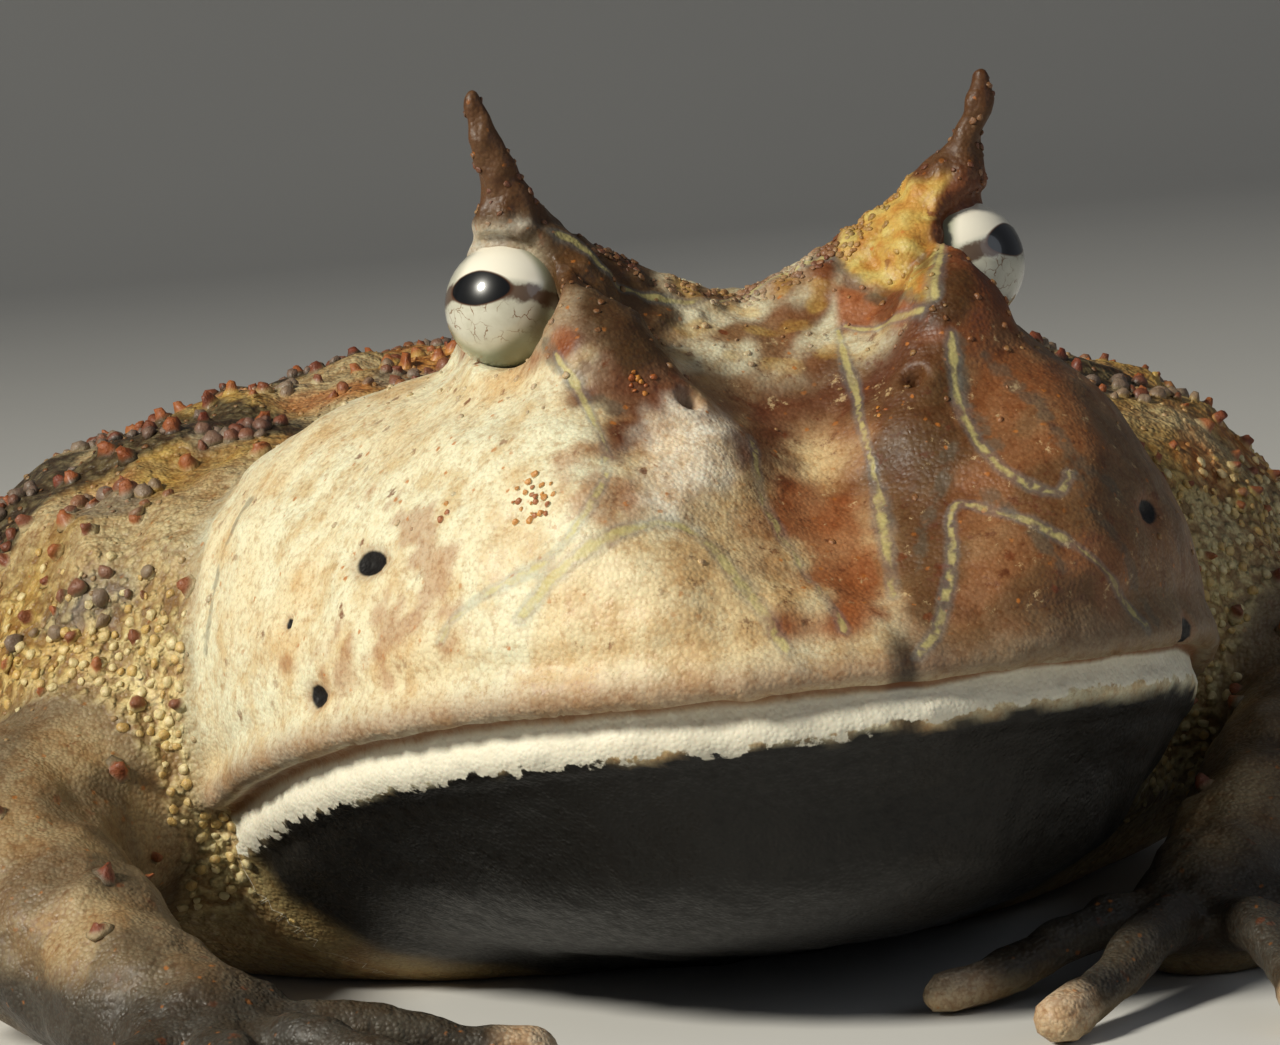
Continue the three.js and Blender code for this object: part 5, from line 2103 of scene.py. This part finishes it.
@dataclass
class Studio:
    """A plain pale floor that curves up far behind, soft light and the camera."""

    target: Triple = (0.0, -31.3, 18.0)
    azimuth: float = -15.0
    elevation: float = 7.0
    roll: float = -4.5
    distance: float = 240.0
    lens: float = 131.85
    aside: float = 7.47
    below: float = 6.66

    def camera(self) -> None:
        """Puts the camera at the photograph's viewing angle."""
        az, el, r = (math.radians(v) for v in (self.azimuth, self.elevation, self.roll))
        back = Vector((math.sin(az) * math.cos(el), -math.cos(az) * math.cos(el), math.sin(el)))
        right = (-back).cross(Vector((0, 0, 1))).normalized()
        up = right.cross(-back)
        turned_right = math.cos(r) * right + math.sin(r) * up
        turned_up = -math.sin(r) * right + math.cos(r) * up
        spot = Vector(self.target) + back * self.distance
        aim = Vector(self.target) - turned_right * self.aside + turned_up * self.below
        out = (spot - aim).normalized()
        side = turned_up.cross(out).normalized()
        top = out.cross(side)
        data = bpy.data.cameras.new("camera")
        data.lens = self.lens
        data.sensor_width = 36.0
        data.clip_start = 0.01
        made = bpy.data.objects.new("camera", data)
        made.matrix_world = Matrix.Translation(spot * MM) @ Matrix((side, top, out)).transposed().to_4x4()
        bpy.context.scene.collection.objects.link(made)
        bpy.context.scene.camera = made

    def lamp(self, name: str, place: Triple, size: float, power: float, colour: Triple) -> None:
        """Adds an area light that faces the frog.

        Args:
            name: The light's name.
            place: Where it stands, in metres.
            size: Its width in metres.
            power: Its power in watts.
            colour: Its colour.
        """
        data = bpy.data.lights.new(name, "AREA")
        data.shape = "DISK"
        data.size = size
        data.energy = power
        data.color = colour
        made = bpy.data.objects.new(name, data)
        spot = Vector(place)
        turn = (spot - Vector(LIT_POINT)).to_track_quat("Z", "Y").to_matrix()
        made.matrix_world = Matrix.Translation(spot) @ turn.to_4x4()
        bpy.context.scene.collection.objects.link(made)

    def floor(self) -> bpy.types.Object:
        """Builds the pale floor.

        Returns:
            The floor.
        """
        front, bend_y, radius, top, half_width, steps = -2.5, 1.2, 0.8, 2.6, 3.0, 12
        profile = [(front, 0.0), (bend_y, 0.0)]
        for n in range(1, steps + 1):
            angle = math.pi / 2 * n / steps
            profile.append((bend_y + radius * math.sin(angle), radius - radius * math.cos(angle)))
        profile.append((bend_y + radius, top))
        vertices = [(x, y, z) for y, z in profile for x in (-half_width, half_width)]
        faces = [[2 * n, 2 * n + 1, 2 * n + 3, 2 * n + 2] for n in range(len(profile) - 1)]
        made = mesh_object("studio_floor", np.array(vertices), faces)
        made.data.shade_smooth()
        material, w, shader, place = new_material("floor_finish")
        soft = w.noise(place, 180.0, 2.0)
        pale, dusty = (0.62, 0.61, 0.585, 1.0), (0.58, 0.57, 0.55, 1.0)
        colour = w.mix(w.span(soft, 0.3, 0.7, 0.0, 0.25), pale, dusty)
        w.tree.links.new(colour, shader.inputs["Base Color"])
        shader.inputs["Roughness"].default_value = 0.85
        made.data.materials.append(material)
        return made

    def build(self) -> None:
        """Builds the floor, the lights, the world and the camera."""
        self.floor()
        self.lamp("key_light", (-0.74, -0.29, 0.585), 0.21, 11.6, (1.0, 0.96, 0.84))
        self.lamp("fill_light", (0.45, -0.45, 0.30), 0.5, 0.4, (0.85, 0.92, 1.0))
        world = bpy.data.worlds.new("studio_world")
        world.use_nodes = True
        background = world.node_tree.nodes["Background"]
        background.inputs[0].default_value = (0.86, 0.91, 1.0, 1.0)
        background.inputs[1].default_value = 0.10
        bpy.context.scene.world = world
        bpy.context.scene.view_settings.view_transform = "Standard"
        self.camera()


FLESH = ("head", "jaw", "torso")
FLESH_OF_SIDE = ("horn", "upper_arm", "forearm", "hand", "thigh", "shank", "foot")


def triangles(piece: bpy.types.Object) -> int:
    """How many triangles a piece has."""
    piece.data.calc_loop_triangles()
    return len(piece.data.loop_triangles)


def main() -> None:
    """Builds the frog's pieces in order, and the studio round them."""
    logging.basicConfig(level=logging.INFO, format="%(message)s")
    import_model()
    studio = Studio()
    studio.build()
    form = FrogForm()
    skin = Skin(form, Markings(form)).build()
    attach(skin, "root")
    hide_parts(*FLESH, *(f"{part}_{side.word}" for side in Side for part in FLESH_OF_SIDE))
    LOG.info("%s: %d triangles", skin.name, triangles(skin))
    for side in Side:
        eye = Eye(form, side).build()
        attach(eye, "root")
        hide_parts(f"eye_{side.word}")
        LOG.info("%s: %d triangles", eye.name, triangles(eye))
    wart = GrainFinish("wart_finish", linear("7a3519"), linear("9c5424"), 0.9, 0.55)
    lump = GrainFinish("lump_finish", linear("7d6a5c"), linear("7c3f22"), 0.8, 0.5)
    granule = GrainFinish("granule_finish", linear("b08a52"), linear("96602f"), 0.5, 0.45)
    crest = GrainFinish("crest_finish", linear("74402a"), linear("9c7048"), 0.6, 0.5)
    amber = GrainFinish("amber_finish", linear("c8842c"), linear("a4561a"), 0.9, 0.4)
    bead = GrainFinish("bead_finish", linear("e4d6a2"), linear("d0ad62"), 0.75, 0.4)
    growths = (
        Scatter("back_warts", Kind.CONE, "wart_share", 1.7, 0.3, 0.4, 0.85, 0.85, wart, 4),
        Scatter("back_lumps", Kind.BALL, "lump_share", 0.65, 1.4, 0.28, 0.6, 1.1, lump, 8),
        Scatter("crest_grains", Kind.BALL, "crest_share", 0.26, 11.0, 0.1, 0.25, 0.5, crest, 9),
        Scatter("amber_grains", Kind.BALL, "amber_share", 0.26, 7.0, 0.1, 0.22, 0.8, amber, 10),
        Scatter("skin_granules", Kind.BALL, "granule_share", 0.55, 0.9, 0.09, 0.22, 0.7, granule, 5),
        Scatter("jaw_beads", Kind.BALL, "bead_share", 0.55, 2.2, 0.18, 0.36, 0.75, bead, 6),
    )
    for growth in growths:
        piece = growth.build(skin)
        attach(piece, "root")
        LOG.info("%s: %d triangles", piece.name, triangles(piece))


if __name__ == "__main__":
    main()
